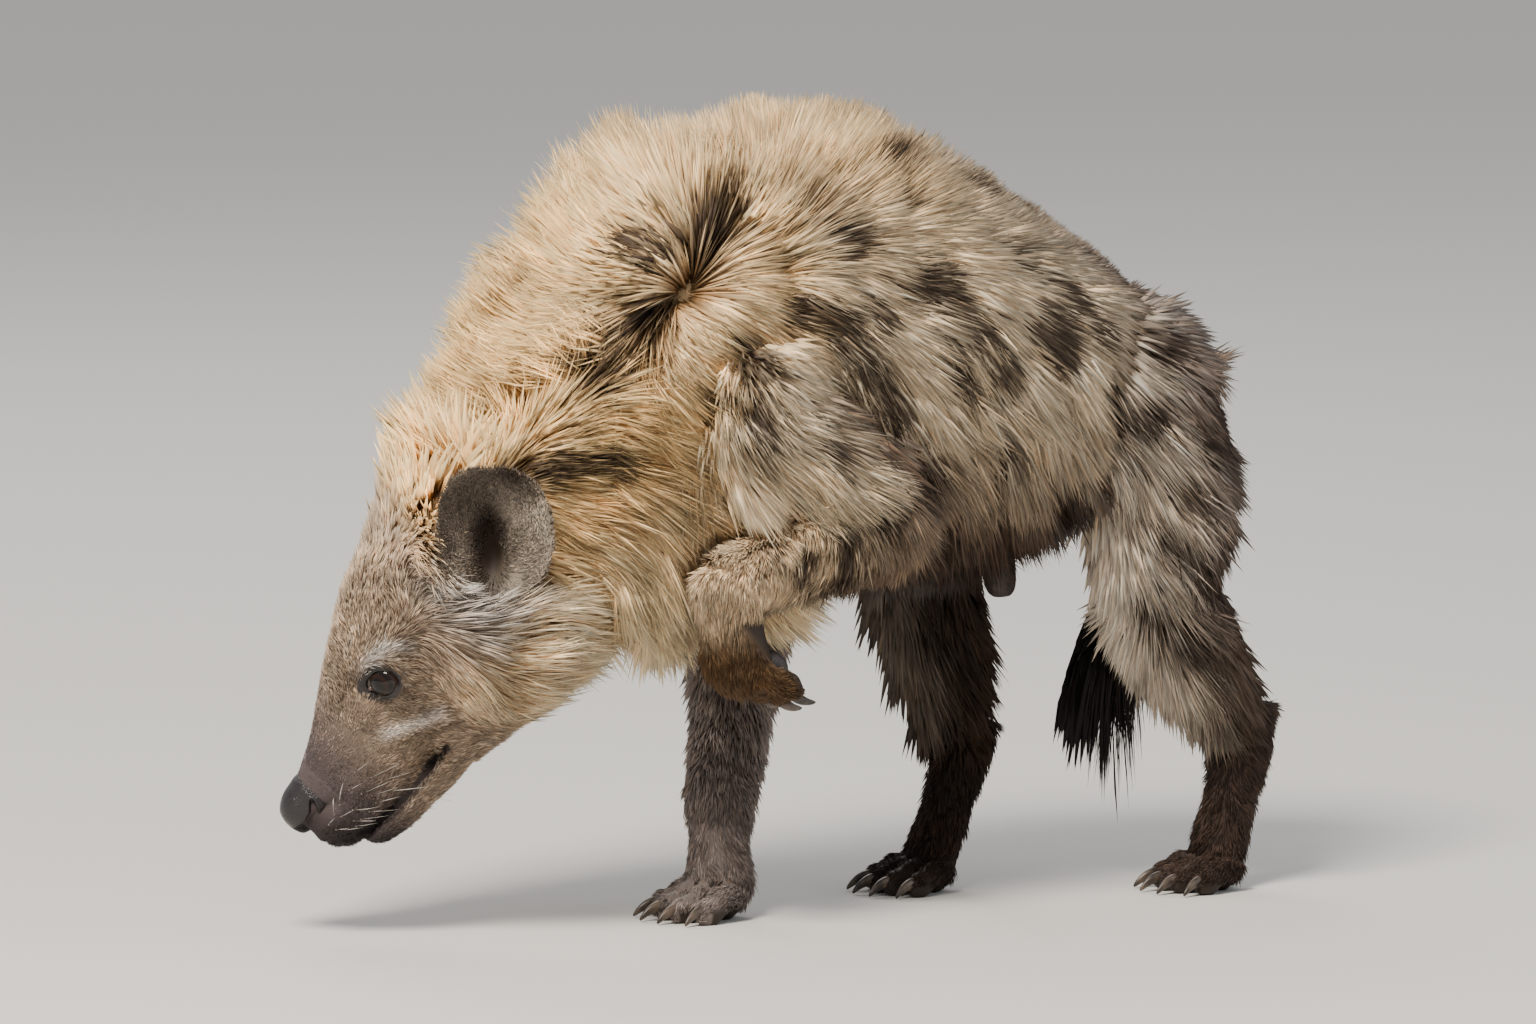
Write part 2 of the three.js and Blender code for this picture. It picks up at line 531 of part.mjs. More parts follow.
const trunkCore = trunk.core();
const trunkGrown = trunk.core(GAP);
const ears = Object.fromEntries(HEAD_SIDES.map(([name, side]) => [name, earRings(side).subtract(headSolid(GAP))]));
const earsClear = inWorld(joined(HEAD_SIDES.map(([, side]) => earRings(side, GAP).hull())));
const neckCore = neck.core().subtract(trunkGrown).subtract(earsClear);
const neckGrown = neck.core(GAP);
const headGrown = inWorld(joined([headSolid(GAP), jaw.core(GAP)]));

const legCores = {};
for (const [name] of SIDES_NAMED) {
  const { front, back } = legs[name];
  const feet = (f, margin) => joined([f.cannon.core(margin), f.pad.core(margin), ...f.toes.map((t) => t.tube.core(margin))]);
  const parts = {
    upper: (m) => front.arm.core(m),
    lower: (m) => front.fore.core(m),
    forefoot: (m) => feet(front.foot, m),
    thigh: (m) => back.thigh.core(m),
    shank: (m) => back.shank.core(m),
    hindfoot: (m) => feet(back.foot, m),
  };
  legCores[name] = parts;
}

const allLegsGrown = joined(SIDES_NAMED.flatMap(([name]) => ["upper", "thigh", "lower", "shank"].map((k) => legCores[name][k](GAP))));

// A core with its locks. A lock that runs into another node is shortened, and left out if that node
// would still cut it by more than half.
function dressed(tube, core, locks, cutters) {
  const clear = cutters.length ? joined(cutters) : null;
  const showing = (whole) => (clear ? whole.subtract(clear).volume() / whole.volume() : 1);
  const kept = locks.map((each) => (showing(lock(tube, each)) > 0.75 ? each : { ...each, reach: 0.6 * each.reach }))
    .filter((each) => showing(lock(tube, each)) > 0.5);
  const body = joined([core, ...kept.map((each) => lock(tube, each))]);
  const margin = joined([core, ...kept.map((each) => roomFor(tube, each))]);
  return { body: largest(clear ? body.subtract(clear) : body), margin };
}

const LIMB_COATS = {
  upper: { tube: "arm", from: 0.5, to: 0.8, row: 40, gap: 50, along: flat(0.75, -0.55), reach: 72, width: 34 },
  thigh: { tube: "thigh", from: 0.3, to: 0.78, row: 60, gap: 54, along: flat(0.4, -1), reach: 92, width: 40 },
  shank: { tube: "shank", from: 0.32, to: 0.62, row: 44, gap: 42, along: flat(0.45, -1), reach: 66, width: 30 },
};

const trunkWorn = dressed(trunk, trunkCore, trunkLocks, [neckGrown, tail.core(GAP), sheath.core(GAP), allLegsGrown]);
const neckWorn = dressed(neck, neckCore, neckLocks, [headGrown, earsClear, trunkGrown, allLegsGrown]);
const tailWorn = dressed(tail, tail.core(), tailLocks, []);

node("torso", trunkWorn.body, "coat");
node("neck", neckWorn.body.subtract(trunkWorn.margin), "neck");
node("tail", cutBy(tailWorn.body, [trunkWorn.margin, allLegsGrown]), "tuft");

const LIMB_NAMES = { upper: "foreleg_SIDE_upper", lower: "foreleg_SIDE_lower", forefoot: "forefoot_SIDE",
  thigh: "hindleg_SIDE_thigh", shank: "hindleg_SIDE_shank", hindfoot: "hindfoot_SIDE" };
for (const [name, side] of SIDES_NAMED) {
  const worn = [];
  const parts = legCores[name];
  const { front, back } = legs[name];
  const clear = {
    upper: [trunkGrown, neckGrown, trunkWorn.margin, neckWorn.margin],
    lower: [trunkGrown, neckGrown, parts.upper(GAP)],
    forefoot: [parts.lower(GAP), floorBlock],
    thigh: [trunkGrown, trunkWorn.margin, tailWorn.margin],
    shank: [trunkGrown, parts.thigh(GAP)],
    hindfoot: [parts.shank(GAP), floorBlock],
  };
  for (const [part, title] of Object.entries(LIMB_NAMES)) {
    const coat = LIMB_COATS[part];
    let body = parts[part](0);
    if (coat) {
      const tube = part === "upper" ? front.arm : back[coat.tube];
      const below = { upper: "lower", thigh: "shank", shank: "hindfoot" }[part];
      const cutters = [...clear[part], parts[below](GAP)];
      const made = dressed(tube, body, limbLocks(tube, side, coat), [...cutters, ...worn]);
      body = made.body;
      worn.push(made.margin);
    }
    node(title.replace("SIDE", name), cutBy(body, clear[part]), "leg");
  }
  for (const [part, limb] of [["forefoot", front], ["hindfoot", back]])
    limb.foot.claws.forEach((claw, i) =>
      node(`claw_${part}_${name}_${i + 1}`, cutBy(claw.core(), [parts[part](GAP), floorBlock]), "claw"));
}
node("sheath", sheath.core().subtract(trunkGrown), "skin");

const eyeBall = (side, margin) => ball([EYE.x, EYE.y * side, EYE.z], Array(3).fill(EYE.radius + margin), 12, 8);
const lids = HEAD_SIDES.flatMap(([, side]) => [lid(side, EYE.opening), lid(side, -EYE.opening)]);
const nostrils = HEAD_SIDES.map(([, side]) => ball([227, 11 * side, -14], [9, 5, 5.5], 8, 5));
const neckInHead = neckGrown.transform(headMatrix.clone().invert().elements);
const headBody = cutBy(joined([headSolid(0), ...lids]), [
  neckInHead, nosePad.core(GAP), ...HEAD_SIDES.map(([, side]) => eyeBall(side, GAP)),
]);
nodes.push({ name: "head", body: largest(headBody), finish: "face", group: "head" });
nodes.push({ name: "lower_jaw", body: largest(cutBy(jaw.core(), [headSolid(GAP)])), finish: "face", group: "head" });
nodes.push({ name: "nose", body: largest(cutBy(nosePad.core(), nostrils)), finish: "skin", group: "head" });
for (const [name, side] of HEAD_SIDES) {
  nodes.push({ name: `eye_${name}`, body: eyeBall(side, 0), finish: "eye", group: "head" });
  nodes.push({ name: `ear_${name}`, body: largest(ears[name]), finish: "face", group: "head" });
}

// The scene graph

const finishes = Object.fromEntries(Object.entries(COLOURS).map(([name, [color, roughness]]) =>
  [name, new THREE.MeshStandardMaterial({ color, roughness, metalness: 0 })]));

function meshOf({ name, body, finish }) {
  const { numProp, numVert, vertProperties, triVerts } = body.getMesh();
  const place = new Float32Array(3 * numVert);
  for (let i = 0; i < numVert; i++) place.set(vertProperties.subarray(i * numProp, i * numProp + 3), 3 * i);
  const geometry = new THREE.BufferGeometry().setAttribute("position", new THREE.BufferAttribute(place, 3));
  const mesh = new THREE.Mesh(geometry.setIndex(new THREE.BufferAttribute(triVerts, 1)), finishes[finish]);
  mesh.name = name;
  return mesh;
}

const hyena = new THREE.Group();
const head = new THREE.Group();
headMatrix.decompose(head.position, head.quaternion, head.scale);
hyena.add(head);
for (const made of nodes) (made.group === "head" ? head : hyena).add(meshOf(made));

// The origin is the middle of the floor under the animal
const box = new THREE.Box3().setFromObject(hyena, true);
const middle = box.getCenter(new THREE.Vector3());
const model = new THREE.Group();
hyena.position.set(-middle.x, -middle.y, -box.min.z);
model.add(hyena);

export default model;
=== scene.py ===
# %% [markdown]
# # A young spotted hyena, sniffing the ground
# This lesson dresses a finished solid model of a hyena cub: a skin without seams, eyes, nose,
# claws, and a coat of many thousand small tufts. The solid model comes first and is never moved.
# All the animal's own sizes below are in millimetres in the animal's frame: it faces -X, its left
# side faces -Y, and Z is up. One shift carries that frame to the model's, in metres.

import json
import math

import bmesh
import bpy
import numpy as np
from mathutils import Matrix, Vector, kdtree

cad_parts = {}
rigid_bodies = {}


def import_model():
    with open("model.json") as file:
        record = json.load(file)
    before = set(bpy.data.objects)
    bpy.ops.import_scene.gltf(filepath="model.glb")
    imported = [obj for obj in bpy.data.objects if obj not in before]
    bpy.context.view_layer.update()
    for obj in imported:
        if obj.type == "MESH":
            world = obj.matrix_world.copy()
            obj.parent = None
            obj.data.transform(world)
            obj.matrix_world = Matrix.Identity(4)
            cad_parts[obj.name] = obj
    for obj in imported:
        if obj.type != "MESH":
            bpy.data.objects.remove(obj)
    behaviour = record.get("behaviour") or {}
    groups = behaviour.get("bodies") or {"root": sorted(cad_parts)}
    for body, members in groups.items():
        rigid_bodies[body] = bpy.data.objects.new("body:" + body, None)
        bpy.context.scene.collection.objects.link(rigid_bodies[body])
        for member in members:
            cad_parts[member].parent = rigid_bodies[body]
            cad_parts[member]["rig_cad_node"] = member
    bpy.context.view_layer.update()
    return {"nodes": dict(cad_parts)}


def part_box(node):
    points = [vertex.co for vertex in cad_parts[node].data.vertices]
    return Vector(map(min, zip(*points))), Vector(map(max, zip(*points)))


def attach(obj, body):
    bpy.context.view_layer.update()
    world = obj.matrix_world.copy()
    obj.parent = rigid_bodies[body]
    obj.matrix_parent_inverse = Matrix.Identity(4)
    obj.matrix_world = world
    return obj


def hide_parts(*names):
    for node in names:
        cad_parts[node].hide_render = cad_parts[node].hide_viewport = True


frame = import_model()
rng = np.random.default_rng(7)
print("nodes in the frame:", len(frame["nodes"]))

# %% [markdown]
# The head has a frame of its own, with x towards the nose, y to the animal's left and z towards the
# forehead. The left eye's centre is known in it, so the box of the solid eye gives the shift.

# %% The animal's frame, the head's frame and the shift between them
def unit(v):
    v = np.asarray(v, float)
    return v / np.maximum(np.linalg.norm(v, axis=-1, keepdims=True), 1e-12)


HEAD_AT = np.array([-316.0, 30.0, 259.0])
HEAD_NOSE = np.array([-435.0, 120.0, 86.0])
EYE = np.array([105.9, 41.4, 5.2])
head_x = unit(HEAD_NOSE - HEAD_AT)
head_y = unit(np.cross([0, 0, 1], head_x))
head_z = np.cross(head_x, head_y)
HEAD_AXES = np.array([head_x, head_y, head_z])


def from_head(points):
    return HEAD_AT + np.asarray(points, float) @ HEAD_AXES


def to_head(points):
    return (np.asarray(points, float) - HEAD_AT) @ HEAD_AXES.T


eye_low, eye_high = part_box("eye_left")
SHIFT = 500.0 * (np.array(eye_low) + np.array(eye_high)) - from_head(EYE)


def metres(points):
    return (np.asarray(points, float) + SHIFT) / 1000.0


def new_piece(name, mesh):
    """An object in the scene for a mesh."""
    piece = bpy.data.objects.new(name, mesh)
    bpy.context.scene.collection.objects.link(piece)
    return piece


def mesh_from(shell, name):
    """A mesh from a bmesh, which is freed."""
    mesh = bpy.data.meshes.new(name)
    shell.to_mesh(mesh)
    shell.free()
    return mesh


print("shift of the frame in mm:", SHIFT.round(2))

# %% [markdown]
# ## Camera, floor and light
# The photo was taken from low down with a long lens, from the animal's left and a little behind its
# shoulder. A long lens far away gives the same flat perspective. One pixel of the picture is
# 1/1450 m at the animal.

# %% Camera
AZIMUTH, ELEVATION = math.radians(-35.0), math.radians(7.0)
PIXELS_PER_MM = 1.45
PICTURE = (1536, 1024)
ORIGIN_PIXEL = np.array([900.0, 905.0])
view_right = np.array([math.cos(AZIMUTH), math.sin(AZIMUTH), 0.0])
view_back = np.array([math.sin(AZIMUTH) * math.cos(ELEVATION),
                      -math.cos(AZIMUTH) * math.cos(ELEVATION), math.sin(ELEVATION)])
view_up = np.cross(view_back, view_right)


def to_picture(points):
    points = np.asarray(points, float)
    return np.stack([ORIGIN_PIXEL[0] + PIXELS_PER_MM * points @ view_right,
                     ORIGIN_PIXEL[1] - PIXELS_PER_MM * points @ view_up], -1)


camera_data = bpy.data.cameras.new("camera")
camera_data.lens = 620.0
camera_data.sensor_width = 36.0
camera = new_piece("camera", camera_data)
centre_right = (PICTURE[0] / 2 - ORIGIN_PIXEL[0]) / PIXELS_PER_MM
centre_up = (ORIGIN_PIXEL[1] - PICTURE[1] / 2) / PIXELS_PER_MM
target = view_right * centre_right + view_up * centre_up
distance = PICTURE[0] / PIXELS_PER_MM * camera_data.lens / camera_data.sensor_width
camera.location = metres(target + view_back * distance)
camera.rotation_mode = "QUATERNION"
camera.rotation_quaternion = Vector(-view_back).to_track_quat("-Z", "Y")
camera_data.clip_end = 200.0
bpy.context.scene.camera = camera
print("camera distance in m:", round(distance / 1000, 2))

# %% [markdown]
# The stage is a wide pale floor and soft light: a large warm key from the upper left, as the sun
# stands in the photo, a weak fill from the right and an even sky.

# %% Floor and lights
disc = bmesh.new()
bmesh.ops.create_circle(disc, cap_ends=True, segments=64, radius=60.0)
floor_mesh = mesh_from(disc, "floor")
floor = new_piece("floor", floor_mesh)
floor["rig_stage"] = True

floor_paint = bpy.data.materials.new("pale_floor")
floor_paint.use_nodes = True
floor_shader = floor_paint.node_tree.nodes["Principled BSDF"]
for socket, value in (("Base Color", (0.72, 0.70, 0.67, 1)), ("Roughness", 0.9), ("Specular IOR Level", 0.1)):
    floor_shader.inputs[socket].default_value = value
floor_mesh.materials.append(floor_paint)

world = bpy.data.worlds.new("studio")
world.use_nodes = True
sky = world.node_tree.nodes["Background"]
sky.inputs["Color"].default_value = (0.94, 0.96, 1.0, 1)
sky.inputs["Strength"].default_value = 0.52
bpy.context.scene.world = world


def area_light(name, at, size, power, colour):
    lamp = bpy.data.lights.new(name, "AREA")
    lamp.size, lamp.energy, lamp.color = size, power, colour
    thing = new_piece(name, lamp)
    thing.location = at
    thing.rotation_mode = "QUATERNION"
    thing.rotation_quaternion = (Vector((-0.05, 0, 0.3)) - Vector(at)).to_track_quat("-Z", "Y")


area_light("key_light", (-2.3, -1.5, 3.4), 1.3, 265.0, (1.0, 0.93, 0.82))
area_light("fill_light", (2.6, -2.6, 1.6), 2.5, 26.0, (0.9, 0.95, 1.0))
area_light("rim_light", (0.9, 2.8, 2.6), 1.8, 40.0, (1.0, 0.96, 0.9))

# %% [markdown]
# ## The skin
# Under its coat a hyena is one soft body. Modelling it as one mesh by hand takes long, so it is
# made as a sculptor makes a maquette: each length of the body is a loft through a few rings, all
# lofts are fused into one surface by a voxel remesh, and then it is smoothed and sculpted.
# A row of a part holds the centre x, y, z, the half sizes up, down and to the side, and the
# depth of the coat over its top, side and bottom.

# %% A length of the body
def smooth_rows(rows, share):
    """Rows of numbers read between their stations by a Catmull-Rom curve."""
    rows = np.asarray(rows, float)
    last = len(rows) - 1
    here = np.clip(np.asarray(share, float), 0, 1) * last
    i = np.minimum(here.astype(int), last - 1)
    t = (here - i)[..., None]
    padded = np.vstack([2 * rows[0] - rows[1], rows, 2 * rows[-1] - rows[-2]])
    a, b, c, d = (padded[i + k] for k in range(4))
    return 0.5 * (2 * b + (c - a) * t + (2 * a - 5 * b + 4 * c - d) * t ** 2
                  + (3 * b - a - 3 * c + d) * t ** 3)


STATIONS = 81


class Part:
    """A length of the body: a line with a cross section and a depth of coat at each station."""

    def __init__(self, name, rows, up=(0, 0, 1), axis=None, boxy=2.2, sides=28, rings=18):
        self.name, self.boxy, self.sides, self.count = name, boxy, sides, rings
        rows = np.array([list(row) + [0.0] * (9 - len(row)) for row in rows], float)
        self.share = np.linspace(0, 1, STATIONS)
        self.line = smooth_rows(rows, self.share)
        self.tangent = unit(np.gradient(self.line[:, :3], axis=0))
        if axis is not None:
            self.tangent = np.tile(unit(axis), (STATIONS, 1))
        up = np.asarray(up, float)
        self.top = unit(up - (self.tangent @ up)[:, None] * self.tangent)
        self.side = np.cross(self.tangent, self.top)

    def rings(self):
        """The points of each cross section, for a loft."""
        angle = 2 * np.pi * (np.arange(self.sides) + 0.5) / self.sides
        rise, out = np.cos(angle), np.sin(angle)
        bent = lambda x: np.sign(x) * np.abs(x) ** (2 / self.boxy)
        for k in np.linspace(0, STATIONS - 1, self.count).round().astype(int):
            line = self.line[k]
            up = bent(rise) * np.where(rise > 0, line[3], line[4])
            yield line[:3] + up[:, None] * self.top[k] + (bent(out) * line[5])[:, None] * self.side[k]

    def locate(self, points):
        """For each point its station, its angle round the line and its distance from the skin."""
        centres = self.line[:, :3]
        far = (points ** 2).sum(1)[:, None] + (centres ** 2).sum(1)[None] - 2 * points @ centres.T
        near = far.argmin(1)
        away = points - centres[near]
        rise = (away * self.top[near]).sum(1)
        out = (away * self.side[near]).sum(1)
        beyond = (away * self.tangent[near]).sum(1)
        line = self.line[near]
        up = np.where(rise > 0, line[:, 3], line[:, 4]).clip(2)
        wide = line[:, 5].clip(2)
        reach = ((np.abs(rise) / up) ** self.boxy + (np.abs(out) / wide) ** self.boxy) ** (1 / self.boxy)
        size = np.hypot(rise, out) / np.maximum(reach, 1e-6)
        at_end = (near == 0) | (near == STATIONS - 1)
        gap = np.hypot((reach - 1) * size, np.where(at_end, beyond, 0))
        angle = np.arctan2(out / wide, rise / up)
        return self.share[near], angle, gap, near

    def depth(self, near, angle):
        """The coat's depth at a station and an angle."""
        top, side, bottom = self.line[near, 6:9].T
        share = np.cos(angle) ** 2
        return np.maximum(side + (np.where(np.cos(angle) > 0, top, bottom) - side) * share, 0)


def between(a, b, t, shift=(0, 0, 0)):
    return [x + (y - x) * t + s for x, y, s in zip(a, b, shift)]


def limb(name, points, sizes, coats, **kw):
    return Part(name, [[*p, *s, c, c, c] for p, s, c in zip(points, sizes, coats)], **kw)


FORWARD, UP = (-1, 0, 0), (0, 0, 1)
parts = []

# %% [markdown]
# The trunk is deep at the withers and slopes to a low rump. The neck is bent down and a little to
# the animal's right.

# %% Trunk, neck and tail
parts.append(Part("trunk", [
    (-196, 0, 335, 60, 55, 34, 24, 22, 24), (-160, 0, 372, 124, 124, 60, 38, 24, 24),
    (-100, 0, 384, 139, 140, 76, 46, 26, 26), (-30, 0, 384, 134, 126, 84, 44, 28, 28),
    (40, 0, 376, 115, 108, 84, 38, 28, 30), (102, 0, 370, 91, 86, 74, 32, 26, 28),
    (160, 0, 360, 67, 62, 60, 26, 22, 22), (212, 0, 350, 40, 44, 46, 22, 20, 18),
    (246, 0, 345, 12, 16, 18, 16, 16, 14)], axis=(1, 0, 0), sides=44, rings=40))
parts.append(Part("neck", [
    (-330, 36, 246, 52, 56, 44, 20, 12, 20), (-300, 26, 278, 66, 82, 50, 40, 20, 30),
    (-250, 14, 322, 88, 100, 60, 50, 26, 34), (-190, 4, 366, 118, 114, 66, 52, 26, 28),
    (-130, 0, 396, 126, 116, 60, 46, 24, 24)], sides=40, rings=20))
parts.append(Part("tail", [
    (236, 0, 356, 22, 22, 22, 8, 8, 8), (248, 0, 318, 17, 17, 17, 16, 14, 14),
    (236, 2, 268, 13, 13, 13, 16, 14, 14), (212, 5, 228, 10, 10, 10, 14, 14, 14),
    (193, 8, 192, 7, 7, 7, 16, 16, 16), (187, 9, 164, 3, 3, 3, 16, 16, 16)], up=(1, 0, 0), sides=20))
parts.append(Part("sheath", [
    (70, 0, 290, 11, 11, 11), (80, 0, 252, 13, 13, 12, 3, 3, 3), (84, 0, 228, 12, 12, 11, 2, 2, 2),
    (85, 0, 214, 8, 8, 8)], up=FORWARD, sides=20, rings=10))

# %% [markdown]
# Each limb is a chain of lengths between its joints. The left forefoot is lifted: its forearm lies
# nearly level and the paw hangs from the wrist, folded back.

# %% Limbs
JOINTS = {
    "left": {
        "scapula": (-88, -46, 470), "shoulder": (-168, -62, 356), "elbow": (-66, -70, 284),
        "carpus": (-200, -80, 244), "knuckle": (-190, -77, 188),
        "hip": (164, -54, 368), "stifle": (182, -62, 218), "hock": (254, -54, 106), "toe": (228, -54, 18.5)},
    "right": {
        "scapula": (-88, 46, 470), "shoulder": (-156, 58, 345), "elbow": (-86, 58, 236),
        "carpus": (-128, 34, 84), "knuckle": (-139, 21, 20),
        "hip": (158, 54, 368), "stifle": (64, 60, 243), "hock": (92, 52, 98), "toe": (58, 50, 18.5)}}
FOLDED_WAY = unit([0.66, 0.1, -0.75])
FOLDED_PALM = np.array([0.75, 0.1, 0.66])
FOLDED_PALM = unit(FOLDED_PALM - FOLDED_PALM @ FOLDED_WAY * FOLDED_WAY)
FEET = []


def make_foot(name, wrist, ball, way, palm, size):
    """The cannon, the palm and four toes with their pads, and what the claws and pads need."""
    way, palm, wrist, ball = (np.asarray(v, float) for v in (way, palm, wrist, ball))
    across = unit(np.cross(way, palm))
    top = -palm
    w = size["wrist"]
    points = [wrist + (ball - wrist) * t for t in (-0.25, 0, 0.5, 1)]
    points.append(ball + way * size["palm"] * 0.6 + palm * size["drop"] * 0.4)
    parts.append(limb(name + "_cannon", points, [
        (14, 14, 14), (w, w, w * 0.95), (w * 0.8, w * 0.82, w * 0.9), (w * 0.82, w * 0.9, w * 1.15),
        (w * 0.5, w * 0.6, w * 0.95)], (4, 5, 4, 3, 2), up=unit(top + way), sides=24, rings=12))
    toes = []
    for k in (-1.5, -0.5, 0.5, 1.5):
        lead = 0 if abs(k) > 1 else 8
        ahead = unit(way + across * k * 0.13)
        root = ball + across * k * size["toe"] * 1.55 + way * (lead - 4)
        stations = ((-4, 0.2, 0.7), (12, 0.1, 0.98), (22, 0.42, 0.95), (31, 0.64, 1.08), (40, 0.8, 0.55))
        points = [root + ahead * far * size["reach"] + palm * low * size["drop"] for far, low, _ in stations]
        fat = [(size["toe"] * f * 0.95, size["toe"] * f * 1.1, size["toe"] * f * 0.84) for *_, f in stations]
        parts.append(limb(f"{name}_toe", points, fat, (2, 2, 2, 2, 1), up=top, sides=18, rings=12))
        toes.append((root, ahead))
    FEET.append(dict(name=name, ball=ball, way=way, down=palm, across=across, toes=toes, size=size))


for side_name, side in (("left", -1), ("right", 1)):
    j = {key: np.array(at, float) for key, at in JOINTS[side_name].items()}
    lifted = side_name == "left"
    scapula, shoulder, elbow, carpus = j["scapula"], j["shoulder"], j["elbow"], j["carpus"]
    hip, stifle, hock = j["hip"], j["stifle"], j["hock"]
    parts.append(limb(
        f"arm_{side_name}", [between(scapula, shoulder, 0.58), between(scapula, shoulder, 0.78), shoulder,
                             between(shoulder, elbow, 0.5), elbow],
        [(12, 14, 10), (30, 38, 24), (38, 46, 31), (34, 42, 31), (23, 30, 24)], (4, 14, 20, 20, 12),
        up=FORWARD))
    parts.append(limb(
        f"fore_{side_name}", [between(elbow, carpus, t) for t in (-0.12, 0, 0.3, 0.75, 1)],
        [(20, 18, 18), (31, 25 if lifted else 31, 26), (27, 25, 24), (22, 23, 20), (23, 23, 21)],
        (8, 10, 9, 6, 5), up=UP if lifted else FORWARD))
    parts.append(limb(
        f"thigh_{side_name}", [between(hip, stifle, -0.32, (2, -18 * side, 0)),
                               between(hip, stifle, -0.18, (2, -12 * side, 0)), hip,
                               between(hip, stifle, 0.5, (10, 2 * side, 0)), stifle],
        [(14, 12, 8), (42, 32, 20), (56, 36, 31), (50, 40, 34), (38, 34, 27)], (6, 16, 24, 26, 22),
        up=FORWARD))
    parts.append(limb(
        f"shank_{side_name}", [between(stifle, hock, t) for t in (-0.12, 0, 0.4, 0.82, 1)],
        [(24, 24, 20), (36, 30, 27), (30, 25, 23), (19, 18, 15), (17, 19, 15)], (10, 22, 24, 18, 10),
        up=FORWARD))
    if lifted:
        make_foot("forefoot_left", carpus, j["knuckle"], FOLDED_WAY, FOLDED_PALM,
                  dict(wrist=23, palm=16, drop=14, toe=8.5, reach=1))
    else:
        make_foot("forefoot_right", carpus, j["knuckle"], FORWARD, (0, 0, -1),
                  dict(wrist=22, palm=16, drop=18, toe=9, reach=1))
    make_foot(f"hindfoot_{side_name}", hock, j["toe"], FORWARD, (0, 0, -1),
              dict(wrist=18, palm=15, drop=15.5, toe=8.4, reach=0.95))

# %% [markdown]
# The head's rings are square to its own x. The jaw is a second, narrower loft under the muzzle, so
# that the fused surface already has the corner where the lips meet.

# %% Skull and jaw
def head_part(name, stations, **kw):
    rows = [[*from_head((x, 0, z)), up, down, side, coat, coat, coat]
            for x, z, up, down, side, coat in stations]
    return Part(name, rows, up=head_z, axis=head_x, boxy=2.3, **kw)


SKULL = [(-34, 0, 44, 50, 44, 6), (-8, 0, 66, 72, 60, 9), (24, 0, 74, 84, 66, 9), (54, 0, 72, 86, 65, 7),
         (82, 0, 65, 84, 58, 5), (104, 0, 57, 80, 50, 3), (118, -2, 50, 76, 44, 3), (125, -4, 46, 57, 41, 3),
         (144, -10, 36, 56, 34, 2), (168, -18, 21, 56, 31, 2), (190, -23, 11, 56, 29, 2),
         (210, -24, 5, 54, 24, 1), (223, -23, -4, 43, 16, 1)]
JAW = [(108, -64, 8, 12, 30), (134, -64, 10, 13, 28), (152, -63, 10, 12, 25), (172, -63, 9, 11, 22),
       (190, -61, 7, 9, 17), (202, -59, 3, 4, 9)]
skull_rows = [(x, z, top - z, bottom + z, side, coat) for x, z, top, bottom, side, coat in SKULL]
parts.append(head_part("skull", skull_rows, sides=44, rings=50))
parts.append(head_part("jaw", [(*row, 2) for row in JAW], sides=24, rings=20))
print("parts of the body:", len(parts))

# %% [markdown]
# An ear is a bowl of even thickness, so its rings run from the hollow out to the rim and back down
# the outside. The two ears differ only in the sign of the head's y.

# %% Ear rings
EAR = dict(length=103.0, width=87.0, depth=22.0, thick=4.2)


def ear_axes(side):
    tip = unit([-0.7, 0.28 * side, 0.63])
    out = np.array([0.22, 0.96 * side, -0.08])
    out = unit(out - out @ tip * tip)
    front = np.cross(out, tip) * side
    return tip, out, front, np.array([-20.0, 93.0 * side, 18.0])


def ear_rings(side):
    tip, out, front, centre = ear_axes(side)
    a = 2 * np.pi * np.arange(44) / 44
    forward, rise = np.cos(a), np.sin(a)
    square = 1 + 0.07 * np.sin(2 * a) ** 2 * (rise > 0)
    f = forward * np.where(forward > 0, 0.84, 1) * square * EAR["width"] / 2
    t = rise * square * EAR["length"] / 2

    def ring(share, depth, back=0.0):
        hollow = depth * (1 - share ** 2.4) + back
        low = 14 * (1 - share)
        return from_head(centre + np.outer(f * share, front) + np.outer(t * share - low, tip) - hollow * out)

    inside = [ring(s, EAR["depth"]) for s in (0.12, 0.3, 0.5, 0.66, 0.8, 0.91, 0.975)]
    outside = [ring(s, EAR["depth"] + EAR["thick"], 0.7 * EAR["thick"])
               for s in (1.0, 0.93, 0.8, 0.6, 0.4, 0.2)]
    return inside + outside


# %% [markdown]
# Each loft starts as circles, whose points are moved to the ring's place, and neighbouring circles
# are bridged. The ends are closed with one face, since the remesh makes them round.

# %% Loft every part into one mesh of closed shells
def loft(rings, closed=False):
    """A new bmesh through rings of points: circles, moved into place and bridged."""
    shell = bmesh.new()
    loops = []
    for points in rings:
        circle = bmesh.ops.create_circle(shell, segments=len(points), radius=1.0)["verts"]
        for vert, place in zip(circle, points):
            vert.co = place
        loops.append(list({edge for vert in circle for edge in vert.link_edges}))
    for first, second in zip(loops, loops[1:] + ([loops[0]] if closed else [])):
        bmesh.ops.bridge_loops(shell, edges=first + second)
    if not closed:
        for loop in (loops[0], loops[-1]):
            bmesh.ops.contextual_create(shell, geom=loop)
    bmesh.ops.recalc_face_normals(shell, faces=shell.faces)
    return shell


def add_shell(target, rings, closed=False):
    mesh = mesh_from(loft(rings, closed), "shell")
    target.from_mesh(mesh)
    bpy.data.meshes.remove(mesh)


